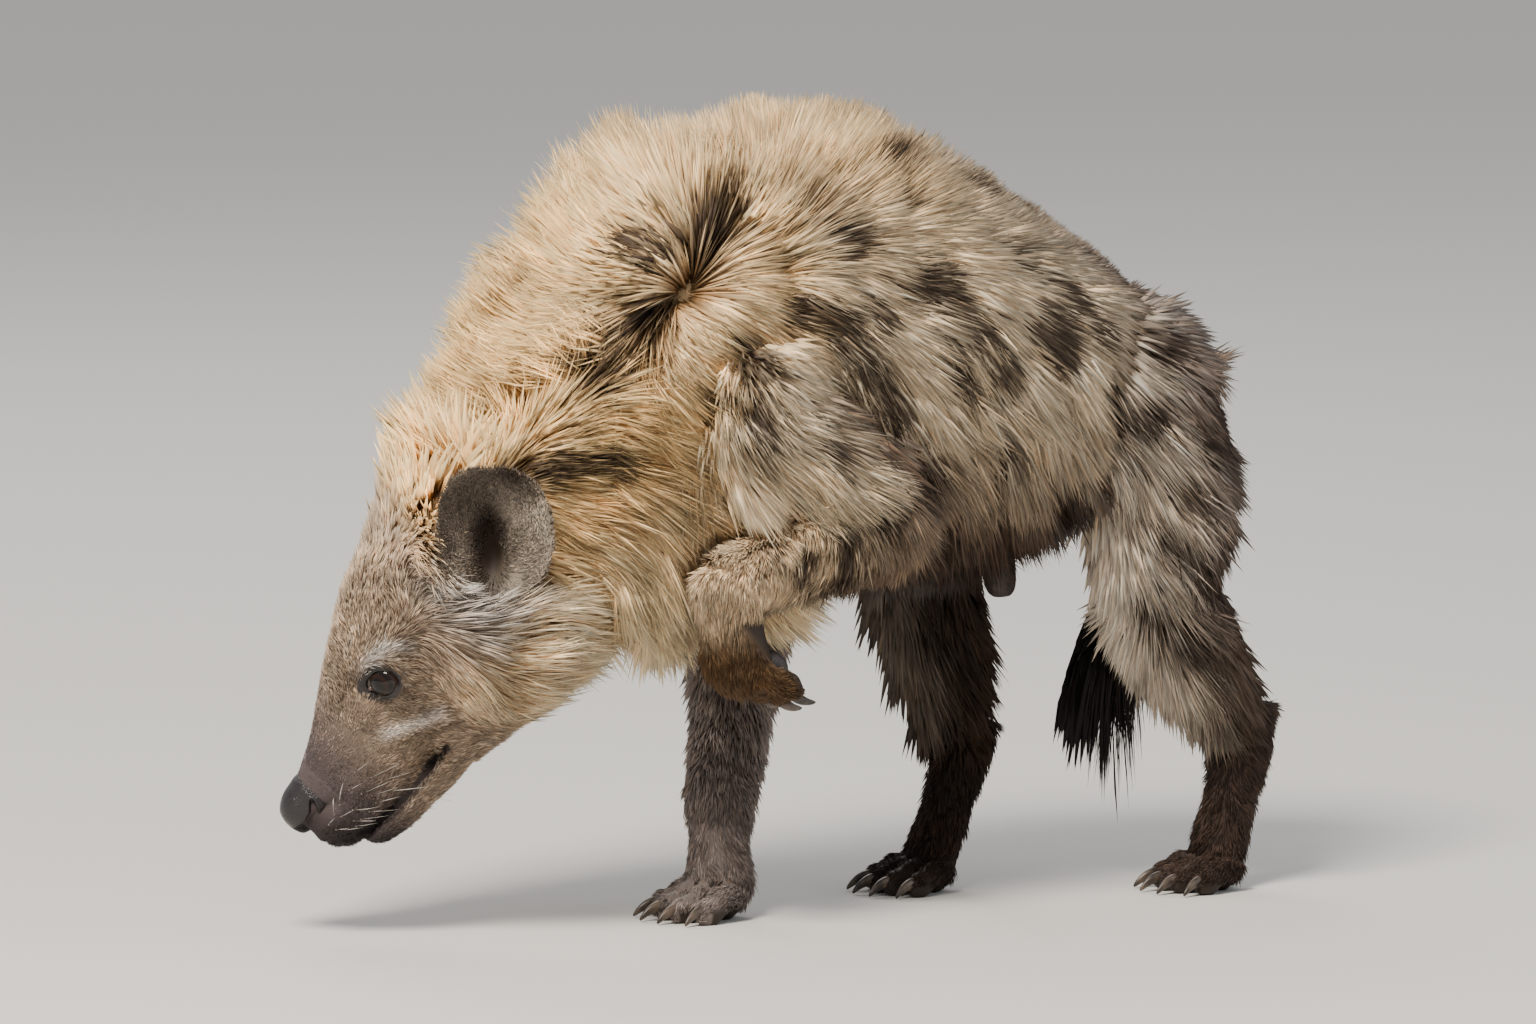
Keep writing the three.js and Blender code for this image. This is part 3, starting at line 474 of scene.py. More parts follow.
flesh = bmesh.new()
for part in parts:
    if part.name != "sheath":
        add_shell(flesh, part.rings())
for side in (1, -1):
    add_shell(flesh, ear_rings(side))
for foot in FEET:
    ball, way, down, size = foot["ball"], foot["way"], foot["down"], foot["size"]
    stations = [ball + way * t * size["palm"] * 0.8 + down * size["drop"] * 0.72
                for t in (-0.9, -0.3, 0.4, 0.9)]
    pad = limb("pad", stations, [(4, 4, 6), (9, 9, 17), (9, 9, 18), (4, 4, 8)], (0, 0, 0, 0), up=-down,
               sides=20, rings=8)
    add_shell(flesh, pad.rings())
print("points in the lofts:", len(flesh.verts))


# %% Fuse the shells with a voxel remesh
def applied(piece):
    """The piece's mesh with its modifiers applied."""
    shaped = bpy.data.meshes.new_from_object(piece.evaluated_get(bpy.context.evaluated_depsgraph_get()))
    old = piece.data
    piece.modifiers.clear()
    piece.data = shaped
    bpy.data.meshes.remove(old)
    return shaped


def read(mesh, what="co"):
    """The places of a mesh's points, or their normals."""
    source = mesh.vertices if what == "co" else mesh.vertex_normals
    values = np.empty(len(source) * 3, np.float32)
    source.foreach_get("co" if what == "co" else "vector", values)
    return values.reshape(-1, 3).astype(float)


def in_mm(mesh):
    return read(mesh) * 1000.0 - SHIFT


def write_mm(mesh, points):
    mesh.vertices.foreach_set("co", metres(points).astype(np.float32).ravel())
    mesh.update()


def fused(shells, name, voxel):
    """A piece whose shells, given in mm, are fused into one surface."""
    bmesh.ops.scale(shells, vec=(0.001, 0.001, 0.001), verts=shells.verts)
    bmesh.ops.translate(shells, vec=Vector(SHIFT / 1000), verts=shells.verts)
    piece = new_piece(name, mesh_from(shells, name))
    remesh = piece.modifiers.new("fuse", "REMESH")
    remesh.mode = "VOXEL"
    remesh.voxel_size = voxel
    return piece, applied(piece)


skin, skin_mesh = fused(flesh, "skin", 0.0022)
print("points in the fused skin:", len(skin_mesh.vertices))

# %% [markdown]
# The fused skin still shows the lofts' creases. A few rounds of smoothing melt them; it is strong on
# the body, weak on the head and feet.

# %% Smooth the skin
def edge_pairs(mesh):
    pairs = np.empty(len(mesh.edges) * 2, np.int32)
    mesh.edges.foreach_get("vertices", pairs)
    return pairs.reshape(-1, 2)


def spread(values, pairs):
    """The mean of each point's neighbours."""
    flat = values.reshape(len(values), -1)
    total = np.zeros_like(flat)
    count = np.bincount(pairs.ravel(), minlength=len(flat))
    for k in range(flat.shape[1]):
        total[:, k] = (np.bincount(pairs[:, 0], flat[pairs[:, 1], k], len(flat))
                       + np.bincount(pairs[:, 1], flat[pairs[:, 0], k], len(flat)))
    return (total / np.maximum(count, 1)[:, None]).reshape(values.shape)


def relax(points, pairs, strength, rounds):
    """Smoothing that keeps the volume: each round in is followed by a round out."""
    for _ in range(rounds):
        for step in (0.6, -0.61):
            points = points + (strength * step)[:, None] * (spread(points, pairs) - points)
    return points


def fade(x, low, high):
    """0 below low, 1 above high and smooth between."""
    t = np.clip((x - low) / (high - low), 0, 1)
    return t * t * (3 - 2 * t)


pairs = edge_pairs(skin_mesh)
points = in_mm(skin_mesh)
head_part_of = lambda p: fade(to_head(p)[:, 0], 0, 50) * (1 - fade(p[:, 2], 330, 380))
softness = 1 - 0.55 * head_part_of(points)
softness *= 1 - 0.8 * (1 - fade(points[:, 2], 30, 75))
softness[(to_head(points)[:, 0] < 20) & (points[:, 0] < -60)] = 1.0
near_paw = np.linalg.norm(points - JOINTS["left"]["knuckle"], axis=1)
softness *= 1 - 0.8 * (1 - fade(near_paw, 35, 60))
points = relax(points, pairs, softness, 14)
write_mm(skin_mesh, points)
print("lowest point of the skin in mm:", round(float(points[:, 2].min()), 2))

# %% [markdown]
# ## The face
# The face is sculpted into the same skin. First its part of the mesh is divided finer. Then small
# pushes are given in the head's own frame, each with a place, a radius and a height, and the same
# on both sides: the brow, the cheek, the pads of the whiskers, the fold behind the mouth.

# %% Divide the face finer
def divide_near(mesh, chosen):
    """One cut through every edge whose both ends are chosen."""
    finer = bmesh.new()
    finer.from_mesh(mesh)
    finer.verts.ensure_lookup_table()
    edges = [edge for edge in finer.edges if chosen[edge.verts[0].index] and chosen[edge.verts[1].index]]
    bmesh.ops.subdivide_edges(finer, edges=edges, cuts=1, use_grid_fill=True)
    bmesh.ops.triangulate(finer, faces=[face for face in finer.faces if len(face.verts) > 4])
    finer.to_mesh(mesh)
    finer.free()
    mesh.update()


local = to_head(in_mm(skin_mesh))
divide_near(skin_mesh, (local[:, 0] > 66) & (np.abs(local[:, 1]) < 66) & (in_mm(skin_mesh)[:, 0] < -300))
pairs = edge_pairs(skin_mesh)
print("points after dividing the face:", len(skin_mesh.vertices))

# %% Sculpt the face
MOUTH_LINE = np.array([(117, 40, -55), (135, 36.5, -57.5), (152, 32, -58.5), (172, 27, -58), (194, 22, -55),
                       (210, 16.5, -47), (221, 11, -39)], float)
FOLD_LINE = np.array([(134, 41, -24), (115, 50, -33), (97, 57, -41)], float)


def distance_to_line(p, line):
    """The shortest distance to a line of points, and how far along it that is from 0 to 1."""
    best, at = np.full(len(p), 1e9), np.zeros(len(p))
    for k, (a, b) in enumerate(zip(line[:-1], line[1:])):
        t = np.clip(((p - a) @ (b - a)) / ((b - a) @ (b - a)), 0, 1)
        d = np.linalg.norm(p - (a + t[:, None] * (b - a)), axis=1)
        closer = d < best
        best, at = np.where(closer, d, best), np.where(closer, (k + t) / (len(line) - 1), at)
    return best, at


def beside(p, line):
    """The same distance seen from the side, so that it doesn't ask how wide the head is."""
    return distance_to_line(np.asarray(p) * (1, 0, 1), np.asarray(line) * (1, 0, 1))


def mirrored_head(points_mm):
    """Head coordinates with both sides laid on the left."""
    p = to_head(points_mm)
    p[:, 1] = np.abs(p[:, 1])
    return p


PUSHES = [  # x, y, z, radius, height: out of the skin where it is positive
    (104, 40, 25, 13, 3.4), (122, 30, 24, 10, 2.4), (90, 50, 12, 11, 1.6), (128, 38, -8, 12, -1.4),
    (104, 56, -16, 14, 1.6), (74, 60, -34, 22, 2.5), (150, 30, -6, 13, -2.6), (140, 16, 30, 12, -2.0),
    (176, 18, 10, 12, 0.8), (186, 27, -36, 15, 3.4), (206, 20, -34, 10, 1.6), (160, 32, -38, 13, 0.8),
    (128, 36, -66, 12, -1.6), (170, 14, -74, 14, 1.0), (196, 6, -66, 8, 1.6), (112, 0, 54, 16, -2.0),
    (60, 34, 62, 22, 2.0), (60, 0, 74, 14, -1.5), (136, 42, -34, 9, 1.4), (118, 44, -46, 8, -1.6)]
points = in_mm(skin_mesh)
face = mirrored_head(points)
normals = read(skin_mesh, "normal")
of_head = fade(to_head(points)[:, 0], 30, 60) * (points[:, 0] < -250)
heights = np.zeros(len(points))
for x, y, z, radius, height in PUSHES:
    heights += height * np.exp(-(((face - (x, y, z)) ** 2).sum(1)) / radius ** 2)
off, at = beside(face, MOUTH_LINE)
sideways = fade(face[:, 1], 4, 10)
heights -= 4.2 * np.exp(-(off / 2.6) ** 2) * (0.6 + 0.4 * np.sin(np.pi * at)) * sideways
below = fade((MOUTH_LINE[:, 2].mean() - 1) - face[:, 2], 0, 3)
heights += 1.6 * np.exp(-((off - 5.4) / 2.6) ** 2) * (0.5 + below) * sideways
heights += 2.2 * np.exp(-(beside(face, FOLD_LINE)[0] / 4.0) ** 2) * sideways
heights -= 2.2 * np.exp(-(beside(face, FOLD_LINE + np.array((-2, 0, -9)))[0] / 3.4) ** 2) * sideways
points = points + (heights * of_head)[:, None] * normals

# the bare nose is a piece of its own: the muzzle narrows to it and is drawn in under it
NOSE_ROWS = [(186, -14, 27.2, 18, 29.5), (192, -13, 23.6, 17.6, 26.4), (198, -12, 20.8, 17, 23.6),
             (204, -11.5, 19, 16.5, 21.6), (210, -11, 17.8, 16, 20), (216, -10.5, 16.6, 16, 19),
             (221, -10.5, 15, 15.5, 18), (225.5, -10.5, 12.5, 14, 15.8), (228.8, -11, 9.8, 11.8, 12.4),
             (230.8, -11.5, 5.6, 8, 7.4), (231.6, -12, 2.4, 3.4, 3.4)]
local = to_head(points)
row_x = [row[0] for row in NOSE_ROWS]
middle_z, row_up, row_down, row_wide = (np.interp(local[:, 0], row_x, [row[k] for row in NOSE_ROWS])
                                        for k in (1, 2, 3, 4))
rise = local[:, 2] - middle_z
tall = np.where(rise > 0, row_up, row_down)
reach = (np.abs(rise / tall) ** 2.4 + np.abs(local[:, 1] / row_wide) ** 2.4) ** (1 / 2.4)
inset = 1 - 0.075 * fade(local[:, 0], 199, 205) - 0.05 * fade(local[:, 0], 186, 199)
hold = fade(local[:, 0], 186, 203) * fade(local[:, 2], -31, -24) * (points[:, 0] < -300)
shrink = np.where(reach > inset, inset / np.maximum(reach, 1e-6), 1)
shrink = 1 + (shrink - 1) * hold
local[:, 1] *= shrink
local[:, 2] = middle_z + rise * shrink
over = hold > 0.5
local[over, 0] = np.minimum(local[over, 0], 224 + 0.1 * (local[over, 0] - 224))
points = from_head(local)
points[:, 2] = np.maximum(points[:, 2], 0.0)
write_mm(skin_mesh, points)

# %% [markdown]
# The skin dips round each eye, so that the ball lies as deep as a real one. The opening is a rounded
# almond in a frame of its own: `ahead` points to the inner corner, `high` to the brow and `out` is
# where the eye looks. `eye_reach` is 1 on the edge of the lids.

# %% Eye sockets
BALL = 12.3
OPENING = dict(wide=10.6, high=9.6, low=9.0, corner=4.0)


def eye_axes(side):
    out = unit([0.5, 0.86 * side, 0.1])
    ahead = np.array([0.826, -0.42 * side, 0.397])
    ahead = unit(ahead - ahead @ out * out)
    high = np.cross(ahead, out) * side
    return out, ahead, high, EYE * (1, side, 1) - 0.6 * out


def opening(angle):
    """How far the opening reaches from its middle at an angle, 0 being the inner corner."""
    c, s = np.cos(angle), np.sin(angle)
    tall = np.where(s > 0, OPENING["high"], OPENING["low"])
    oval = 1 / np.sqrt((c / OPENING["wide"]) ** 2 + (s / tall) ** 2)
    return oval + OPENING["corner"] * np.maximum(c, 0) ** 7 + 1.0 * np.maximum(-c, 0) ** 9


def eye_reach(head_places, side):
    """Distance from the eye's axis in shares of the opening, and the height along that axis."""
    out, ahead, high, centre = eye_axes(side)
    away = head_places - centre
    a, h, o = away @ ahead, away @ high, away @ out
    return np.hypot(a, h) / opening(np.arctan2(h, a)), o, a, h


points = in_mm(skin_mesh)
local = to_head(points)
for side in (1, -1):
    out, ahead, high, centre = eye_axes(side)
    share, height, a, h = eye_reach(local, side)
    near = (share < 2.6) & (height > -4) & (local[:, 1] * side > 5)
    wanted = np.interp(share, [0, 1.15, 1.45, 1.75, 2.1, 2.6], [3.5, 4.8, 8.3, 9.0, 9.6, 10.4])
    upper_fold = 0.9 * np.exp(-((share - 1.95) / 0.2) ** 2) * (h > 0)
    wanted = wanted + upper_fold - 0.8 * np.exp(-((share - 1.62) / 0.1) ** 2)
    hold = (1 - fade(share, 1.6, 2.5)) * near
    local = local + ((wanted - height) * hold)[:, None] * out
points = from_head(local)
write_mm(skin_mesh, points)

# %% [markdown]
# The hollow of the ear leads into a dark canal, with a fold on its rear edge. Both are pushes too,
# along the way that the ear's bowl faces.

# %% Ear hollows
for side in (1, -1):
    tip, out, front, centre = ear_axes(side)
    away = local - centre
    f, t, o = away @ front, away @ tip, away @ out
    facing = fade(normals @ (HEAD_AXES.T @ out), 0.0, 0.4)
    inside = (np.hypot(f / 40, t / 50) < 1) * (local[:, 1] * side > 58) * facing
    canal = np.exp(-((f - 1) / 8) ** 2 - ((t + 24) / 13) ** 2)
    trough = np.exp(-((f - 6) / 11) ** 2 - ((t + 12) / 17) ** 2)
    fold = np.exp(-((f + 13 + 0.2 * t) / 4) ** 2 - ((t + 18) / 18) ** 2)
    tragus = np.exp(-((f - 18) / 5) ** 2 - ((t + 30) / 11) ** 2)
    local = local + (inside * (-4.0 * canal - 1.5 * trough + 3.0 * fold + 3.5 * tragus))[:, None] * out
points = from_head(local)
write_mm(skin_mesh, points)

# %% [markdown]
# ## The lie of the coat
# Hair on a real animal has a direction, a length and a lift at each place. All three are worked out
# at each point of the skin from the part it belongs to. Where parts meet their values are mixed, so
# that the coat turns smoothly. Angle 0 is the top of a part and 180 degrees its underside.

# %% Share of each part at each point
points = in_mm(skin_mesh)
normals = read(skin_mesh, "normal")
pairs = edge_pairs(skin_mesh)
count = len(points)
shares = np.zeros((count, len(parts)))
station = np.zeros((count, len(parts)))
turn = np.zeros((count, len(parts)))
coat_depth = np.zeros((count, len(parts)))
line_index = np.zeros((count, len(parts)), int)
for k, part in enumerate(parts):
    low, high = part.line[:, :3].min(0) - 150, part.line[:, :3].max(0) + 150
    near = ((points > low) & (points < high)).all(1)
    s, angle, gap, index = part.locate(points[near])
    shares[near, k] = np.exp(-(gap / 9.0) ** 2) + 1e-9 / (1 + gap)
    station[near, k], turn[near, k], line_index[near, k] = s, np.degrees(angle), index
    coat_depth[near, k] = part.depth(index, angle)
names = [part.name for part in parts]
sheath_column = names.index("sheath")
shares[:, sheath_column] = 0
shares /= shares.sum(1, keepdims=True)
owner = shares.argmax(1)
head_points = to_head(points)
print("points that hold the coat's lie:", count)

# %% [markdown]
# An ear's own points are told by their place in the bowl: `ear_share` is 1 on the bowl and 0 on the
# skull, and `ear_inside` is 1 in the hollow.

# %% The ears' share
ear_share, ear_inside, ear_lie = np.zeros(count), np.zeros(count), np.zeros((count, 3))
ear_across, ear_along, ear_hollow_shade = np.zeros(count), np.zeros(count), np.zeros(count)
for side in (1, -1):
    tip, out, front, centre = ear_axes(side)
    away = head_points - centre
    f, t, o = away @ front, away @ tip, away @ out
    round_ear = np.hypot(f / (EAR["width"] / 2), t / (EAR["length"] / 2))
    off_skull = np.abs(head_points[:, 1]) - 60
    facing = normals @ (HEAD_AXES.T @ out)
    bowl = fade(facing, 0.0, 0.3) * (round_ear < 0.97) * fade(off_skull, -6, -2)
    mine = np.maximum(fade(off_skull, 0, 12), bowl) * (round_ear < 1.15) * (np.abs(o + 14) < 31)
    mine *= head_points[:, 1] * side > 0
    # painted shade: an oval deep in the hollow of the ear, which is painted near black for the shade in the
    # recess
    hollow_shade_oval = np.exp(-(np.hypot((f - 4) / 15, (t + 13) / 37) ** 4)) * fade(facing, -0.3, 0.2)
    ear_hollow_shade = np.maximum(ear_hollow_shade, hollow_shade_oval * (o < 3) * (o > -60) * (head_points[:, 1] * side > 40))
    ear_share = np.maximum(ear_share, mine)
    ear_inside = np.maximum(ear_inside, mine * fade(facing, 0.0, 0.35))
    radial = np.outer(f, front) + np.outer(t + 30, tip)
    ear_lie += mine[:, None] * unit(radial) @ HEAD_AXES
    ear_across += mine * f
    ear_along += mine * t


# %% Default lie, length, lift and width of each part
def table(angle, *rows):
    """Values read between angles, which are the same on both sides of the body."""
    at = np.abs(angle)
    knots = [row[0] for row in rows]
    return np.stack([np.interp(at, knots, [row[k] for row in rows]) for k in range(1, len(rows[0]))], -1)


BACKWARD = np.array([1.0, 0, 0])
DOWN = np.array([0, 0, -1.0])
mane_extra = np.interp(points[:, 0], [-260, -215, -165, -120, -60, 0, 60, 130, 200],
                       [10, 24, 14, 3, -4, -9, -14, -13, -8])
lie = np.zeros((count, 3))
length, lift_root, lift_tip, width = (np.zeros(count) for _ in range(4))
for k, part in enumerate(parts):
    w = shares[:, k]
    s, angle, depth = station[:, k], turn[:, k], coat_depth[:, k]
    along = part.tangent[line_index[:, k]]
    wide = np.full(count, 1.1)
    if part.name == "trunk":
        below = np.radians(table(angle, (0, -5), (25, 0), (50, 15), (90, 50), (130, 78), (180, 30))[:, 0])
        way = np.outer(np.cos(below), BACKWARD) + np.outer(np.sin(below), DOWN)
        forwards = (1 - fade(points[:, 0], -190, -70)) * (np.abs(angle) < 60)
        way[:, 0] -= 1.6 * forwards * way[:, 0]
        lifts = table(angle, (0, 86, 74), (25, 78, 58), (50, 48, 24), (90, 34, 8), (130, 30, 5), (180, 26, 5))
        depth = depth * np.interp(np.abs(angle), [0, 40, 90, 130, 180], [0.92, 0.9, 0.8, 0.7, 0.55])
        depth = depth * (1 - 0.45 * fade(points[:, 0], 150, 215))
        depth = depth + mane_extra * (1 - fade(np.abs(angle), 30, 62))
        wide[:] = np.interp(np.abs(angle), [30, 60], [1.05, 1.0])
    elif part.name == "neck":
        split = fade(np.abs(angle), 58, 74)[:, None]
        way = (1 - split) * np.array([-0.75, 0, 0.5]) + split * np.array([0.62, 0, -0.7])
        lifts = table(angle, (0, 80, 56), (25, 64, 38), (60, 44, 16), (90, 34, 8), (180, 28, 6))
        depth = depth * np.interp(np.abs(angle), [0, 40, 90, 180], [0.72, 0.74, 0.8, 0.65])
        front = 1 - fade(s, 0.1, 0.36)
        depth = depth + (mane_extra + 38 * front) * (1 - fade(np.abs(angle), 34, 66))
        depth = depth + 14 * front * fade(np.abs(angle), 100, 140)
        wide[:] = np.interp(np.abs(angle), [30, 60], [1.0, 0.95])
    elif part.name == "tail":
        way = 0.3 * along + DOWN
        lifts = table(angle, (0, 9, 0), (180, 9, 0))
        depth = np.interp(s, [0, 0.3, 0.6, 1], [6, 8, 10, 13])
        wide[:] = 1.5
    elif part.name in ("skull", "jaw"):
        x = head_points[:, 0]
        way = np.tile(-head_x, (count, 1)) + np.outer(0.35 * fade(np.abs(angle), 50, 110), DOWN)
        lifts = table(angle, (0, 22, 8), (180, 22, 8))
        ruff = (1 - fade(x, 40, 92)) * fade(np.abs(angle), 62, 105)
        hair = np.interp(x, [-30, 10, 60, 100, 150, 200, 225], [24, 17, 12, 8, 4.5, 2.6, 2])
        nape = (1 - fade(x, 8, 54)) * (1 - fade(np.abs(angle), 56, 84))
        crown = (1 - fade(x, 120, 170)) * (1 - fade(np.abs(angle), 50, 90))
        below_ear = np.exp(-(((x - 20) / 17) ** 2 + ((head_points[:, 2] - 6) / 34) ** 2))
        below_ear *= fade(np.abs(angle), 36, 56)
        hair = hair + 30 * ruff + 34 * nape + 9 * below_ear
        hair = hair * (1 - 0.5 * fade(x, 188, 202) * fade(head_points[:, 2], -34, -24))
        hair = hair + 2.2 * fade(x, 120, 180) * fade(-head_points[:, 2], 30, 44)
        lifts = lifts + nape[:, None] * (50, 40) + (crown * (1 - nape))[:, None] * (14, 12)
        lifts = lifts + (below_ear * (1 - nape))[:, None] * (40, 34)
        depth = hair * np.sin(np.radians(lifts.mean(1)))
        wide = np.interp(x, [0, 90, 200], [0.95, 0.6, 0.45])
    elif part.name.endswith(("_toe", "_cannon")):
        way = along + 0.2 * BACKWARD
        lifts = table(angle, (0, 16, 4), (180, 16, 4))
        depth = 0.9 if part.name.endswith("_toe") else 2.2
        wide[:] = 0.9
    else:
        way = along + 0.4 * BACKWARD
        if part.name == "fore_left":
            way = 0.45 * along + np.array([0.15, 0, -0.85])
        lifts = table(angle, (0, 36, 12), (180, 36, 12))
        if part.name.startswith("arm"):
            depth = depth * (1 - 0.5 * fade(s, 0.6, 0.9) * (1 - fade(np.abs(angle), 40, 90)))
            rear = fade(-np.cos(np.radians(angle)), -0.3, 0.5)
            way = way + 0.7 * rear[:, None] * np.array([0.5, 0, -0.9])
            lifts = lifts - rear[:, None] * (8, 2)
        if part.name == "fore_left":
            lifts = lifts - (1 - fade(s, 0.6, 0.9))[:, None] * (10, 4)
        if part.name.startswith(("thigh", "shank")):
            rear = fade(-np.cos(np.radians(angle)), -0.1, 0.8)
            depth = depth * (0.8 - 0.6 * rear)
            lifts = lifts - 10 * rear[:, None] * (1, 0.6)
            wide[:] = 1.05
    mean_lift = np.radians(lifts.mean(1))
    hair_long = depth / np.sin(mean_lift)
    if part.name.startswith(("arm", "fore")):
        hair_long = np.minimum(hair_long, 46)
    if part.name == "tail":
        hair_long = np.interp(s, [0, 0.3, 0.6, 1], [32, 50, 84, 96])
    lie += w[:, None] * unit(way)
    length += w * hair_long
    lift_root += w * lifts[:, 0]
    lift_tip += w * lifts[:, 1]
    width += w * wide
# the hair of the rump falls over the root of the tail
over_tail = 1 - fade(np.linalg.norm((points - (244, 0, 330)) / (1, 1, 1.7), axis=1), 22, 42)
lie = lie * (1 - over_tail)[:, None] + over_tail[:, None] * (DOWN + (0.3, 0, 0))
length = length + over_tail * np.maximum(28 - length, 0)
lift_root = lift_root + over_tail * (9 - lift_root)
lift_tip = lift_tip + over_tail * (0 - lift_tip)
lie = lie * (1 - ear_share)[:, None] + ear_lie * ear_share[:, None]
length = length * (1 - ear_share) + ear_share * np.where(ear_inside > 0.5, 5.0, 6.5)
lift_root = lift_root * (1 - ear_share) + 24 * ear_share
lift_tip = lift_tip * (1 - ear_share) + 10 * ear_share
width = width * (1 - ear_share) + 0.8 * ear_share
print("longest hair in mm:", round(float(length.max()), 1))

# %% [markdown]
# The parts alone give a plain coat. The real one has a whorl on the shoulder, from where the hair
# fans out, a parting down the neck, and flanks that curve down to the belly. These are combed in
# with short strokes, given on the picture: from a pixel to a pixel. Each stroke turns the hair
# round its own place on the skin, and the strokes of the trunk and neck are used on both sides.

# %% Strokes of the comb
COMB_BODY = [
    (660, 150, 628, 126), (700, 142, 678, 104), (740, 150, 734, 106), (790, 150, 796, 106),
    (840, 150, 852, 108), (890, 160, 918, 132), (950, 190, 986, 176), (600, 230, 566, 200),
    (560, 285, 526, 255), (590, 160, 560, 144), (520, 330, 488, 300), (450, 400, 420, 376),
    (400, 470, 372, 440), (600, 340, 562, 318), (620, 300, 584, 292), (740, 240, 734, 190),
    (690, 238, 642, 218), (660, 200, 620, 176), (690, 180, 664, 142), (720, 200, 708, 152),
    (770, 200, 792, 160), (765, 218, 812, 192), (820, 192, 862, 152), (880, 204, 930, 186),
    (770, 240, 832, 236), (830, 238, 892, 242), (900, 238, 960, 248), (960, 222, 1012, 222),
    (740, 270, 792, 292), (800, 282, 850, 312), (870, 292, 920, 314), (930, 282, 986, 304),
    (1000, 262, 1050, 284), (1060, 284, 1110, 314), (700, 330, 734, 376), (740, 360, 774, 420),
    (800, 360, 842, 412), (870, 350, 908, 402), (930, 352, 962, 402), (1000, 330, 1040, 372),
    (1060, 352, 1092, 402), (1110, 352, 1150, 384), (1160, 362, 1190, 402), (700, 420, 722, 482),
    (740, 440, 764, 492), (790, 430, 820, 466), (840, 440, 872, 470), (880, 430, 912, 482),
    (930, 440, 958, 502), (960, 480, 976, 542), (1010, 440, 1030, 502), (1000, 520, 1006, 566),
    (1050, 420, 1066, 482), (1080, 440, 1086, 502), (900, 500, 930, 542), (1110, 430, 1142, 462),
    (1150, 430, 1186, 462), (1100, 480, 1110, 542), (1140, 500, 1172, 552), (1180, 480, 1206, 522),
    (1105, 560, 1114, 622), (1150, 570, 1184, 612), (1190, 560, 1212, 602), (560, 500, 620, 488),
    (570, 540, 630, 562), (560, 590, 604, 632), (530, 620, 568, 666), (620, 460, 682, 468),
    (640, 520, 690, 562), (620, 580, 650, 632), (650, 430, 702, 448), (660, 370, 702, 402),
    (680, 560, 700, 604)]
COMB_FORELEG = [
    (850, 500, 842, 556), (800, 510, 792, 562), (760, 520, 752, 572), (722, 530, 706, 572),
    (700, 600, 712, 652), (740, 640, 752, 692), (770, 485, 832, 480)]
COMB_SHANK = [
    (1110, 622, 1110, 682), (1140, 642, 1152, 702), (1180, 642, 1210, 692), (1200, 622, 1226, 662),
    (1215, 702, 1240, 736)]
COMB_HEAD = [
    (470, 640, 512, 664), (480, 690, 532, 712), (440, 660, 470, 680), (420, 562, 450, 582),
    (470, 600, 510, 612), (350, 622, 358, 580), (385, 600, 396, 562), (300, 762, 326, 722),
    (340, 800, 366, 770), (400, 762, 430, 736), (332, 702, 338, 652), (420, 720, 456, 716),
    (440, 612, 458, 586), (456, 628, 480, 602), (482, 638, 506, 616), (500, 652, 536, 636)]


def group_of(names_wanted):
    columns = [k for k, name in enumerate(names) if name in names_wanted]
    return shares[:, columns].sum(1)


def nearest_seen(picture_place, candidates, places, reach=9.0):
    """The candidate that the camera sees at a pixel, or else the one nearest to it."""
    off = np.linalg.norm(places[candidates] - picture_place, axis=1)
    hits = candidates[off < reach]
    if len(hits):
        return hits[(points[hits] @ view_back).argmax()]
    return candidates[off.argmin()]


mean_lift = np.radians((lift_root + lift_tip) / 2)
places = to_picture(points + (0.6 * length * np.sin(mean_lift))[:, None] * normals)
facing_camera = normals @ view_back > 0.12
GROUPS = [
    (COMB_BODY, {"trunk", "neck", "thigh_left", "arm_left", "thigh_right", "arm_right"}, True),
    (COMB_FORELEG, {"fore_left", "forefoot_left_cannon"}, False),
    (COMB_SHANK, {"shank_left", "hindfoot_left_cannon"}, False),
    (COMB_HEAD, {"skull", "jaw"}, True)]
for strokes, members, both_sides in GROUPS:
    mine = group_of(members)
    on_head = "skull" in members
    local = head_points if on_head else points
    middle_y = 0 if on_head else np.interp(local[:, 0], [-330, -300, -250, -190, -130], [36, 26, 14, 4, 0])
    near_sign = 1.0 if on_head else -1.0
    near_side = (local[:, 1] - middle_y) * near_sign > -4
    candidates = np.flatnonzero((mine > 0.5) & facing_camera & near_side)
    folded = local.copy()
    if both_sides:
        folded[:, 1] = middle_y + near_sign * np.abs(local[:, 1] - middle_y)
    flip = both_sides & ~near_side
    total, weight = np.zeros((count, 3)), np.full(count, 1 / 100.0 ** 4)
    total += lie * weight[:, None]
    for u, v, u2, v2 in strokes:
        at = nearest_seen(np.array([u, v]), candidates, places)
        way = view_right * (u2 - u) - view_up * (v2 - v)
        normal = normals[at]
        into = np.clip(-(way @ normal) / max(normal @ view_back, 0.25), -1.2 * np.linalg.norm(way),
                       1.2 * np.linalg.norm(way))
        way = unit(way + into * view_back)
        way_there = np.tile(way, (count, 1))
        if both_sides:
            mirror = np.array([1.0, -1.0, 1.0])
            far_way = (way @ HEAD_AXES.T * mirror) @ HEAD_AXES if on_head else way * mirror
            way_there[flip] = far_way
        closeness = 1 / (((folded - local[at]) ** 2).sum(1) + 10.0 ** 2) ** 2
        total += way_there * closeness[:, None]
        weight += closeness
    combed = unit(total / weight[:, None])
    share = (mine * (1 - ear_share))[:, None]
    lie = lie * (1 - share) + combed * share
for _ in range(4):
    lie = 0.5 * lie + 0.5 * spread(lie, pairs)
lie = unit(lie - (lie * normals).sum(1)[:, None] * normals)
for field in (length, lift_root, lift_tip, width):
    for _ in range(3):
        field[:] = spread(field, pairs)
print("strokes of the comb:", sum(len(strokes) for strokes, _, _ in GROUPS))

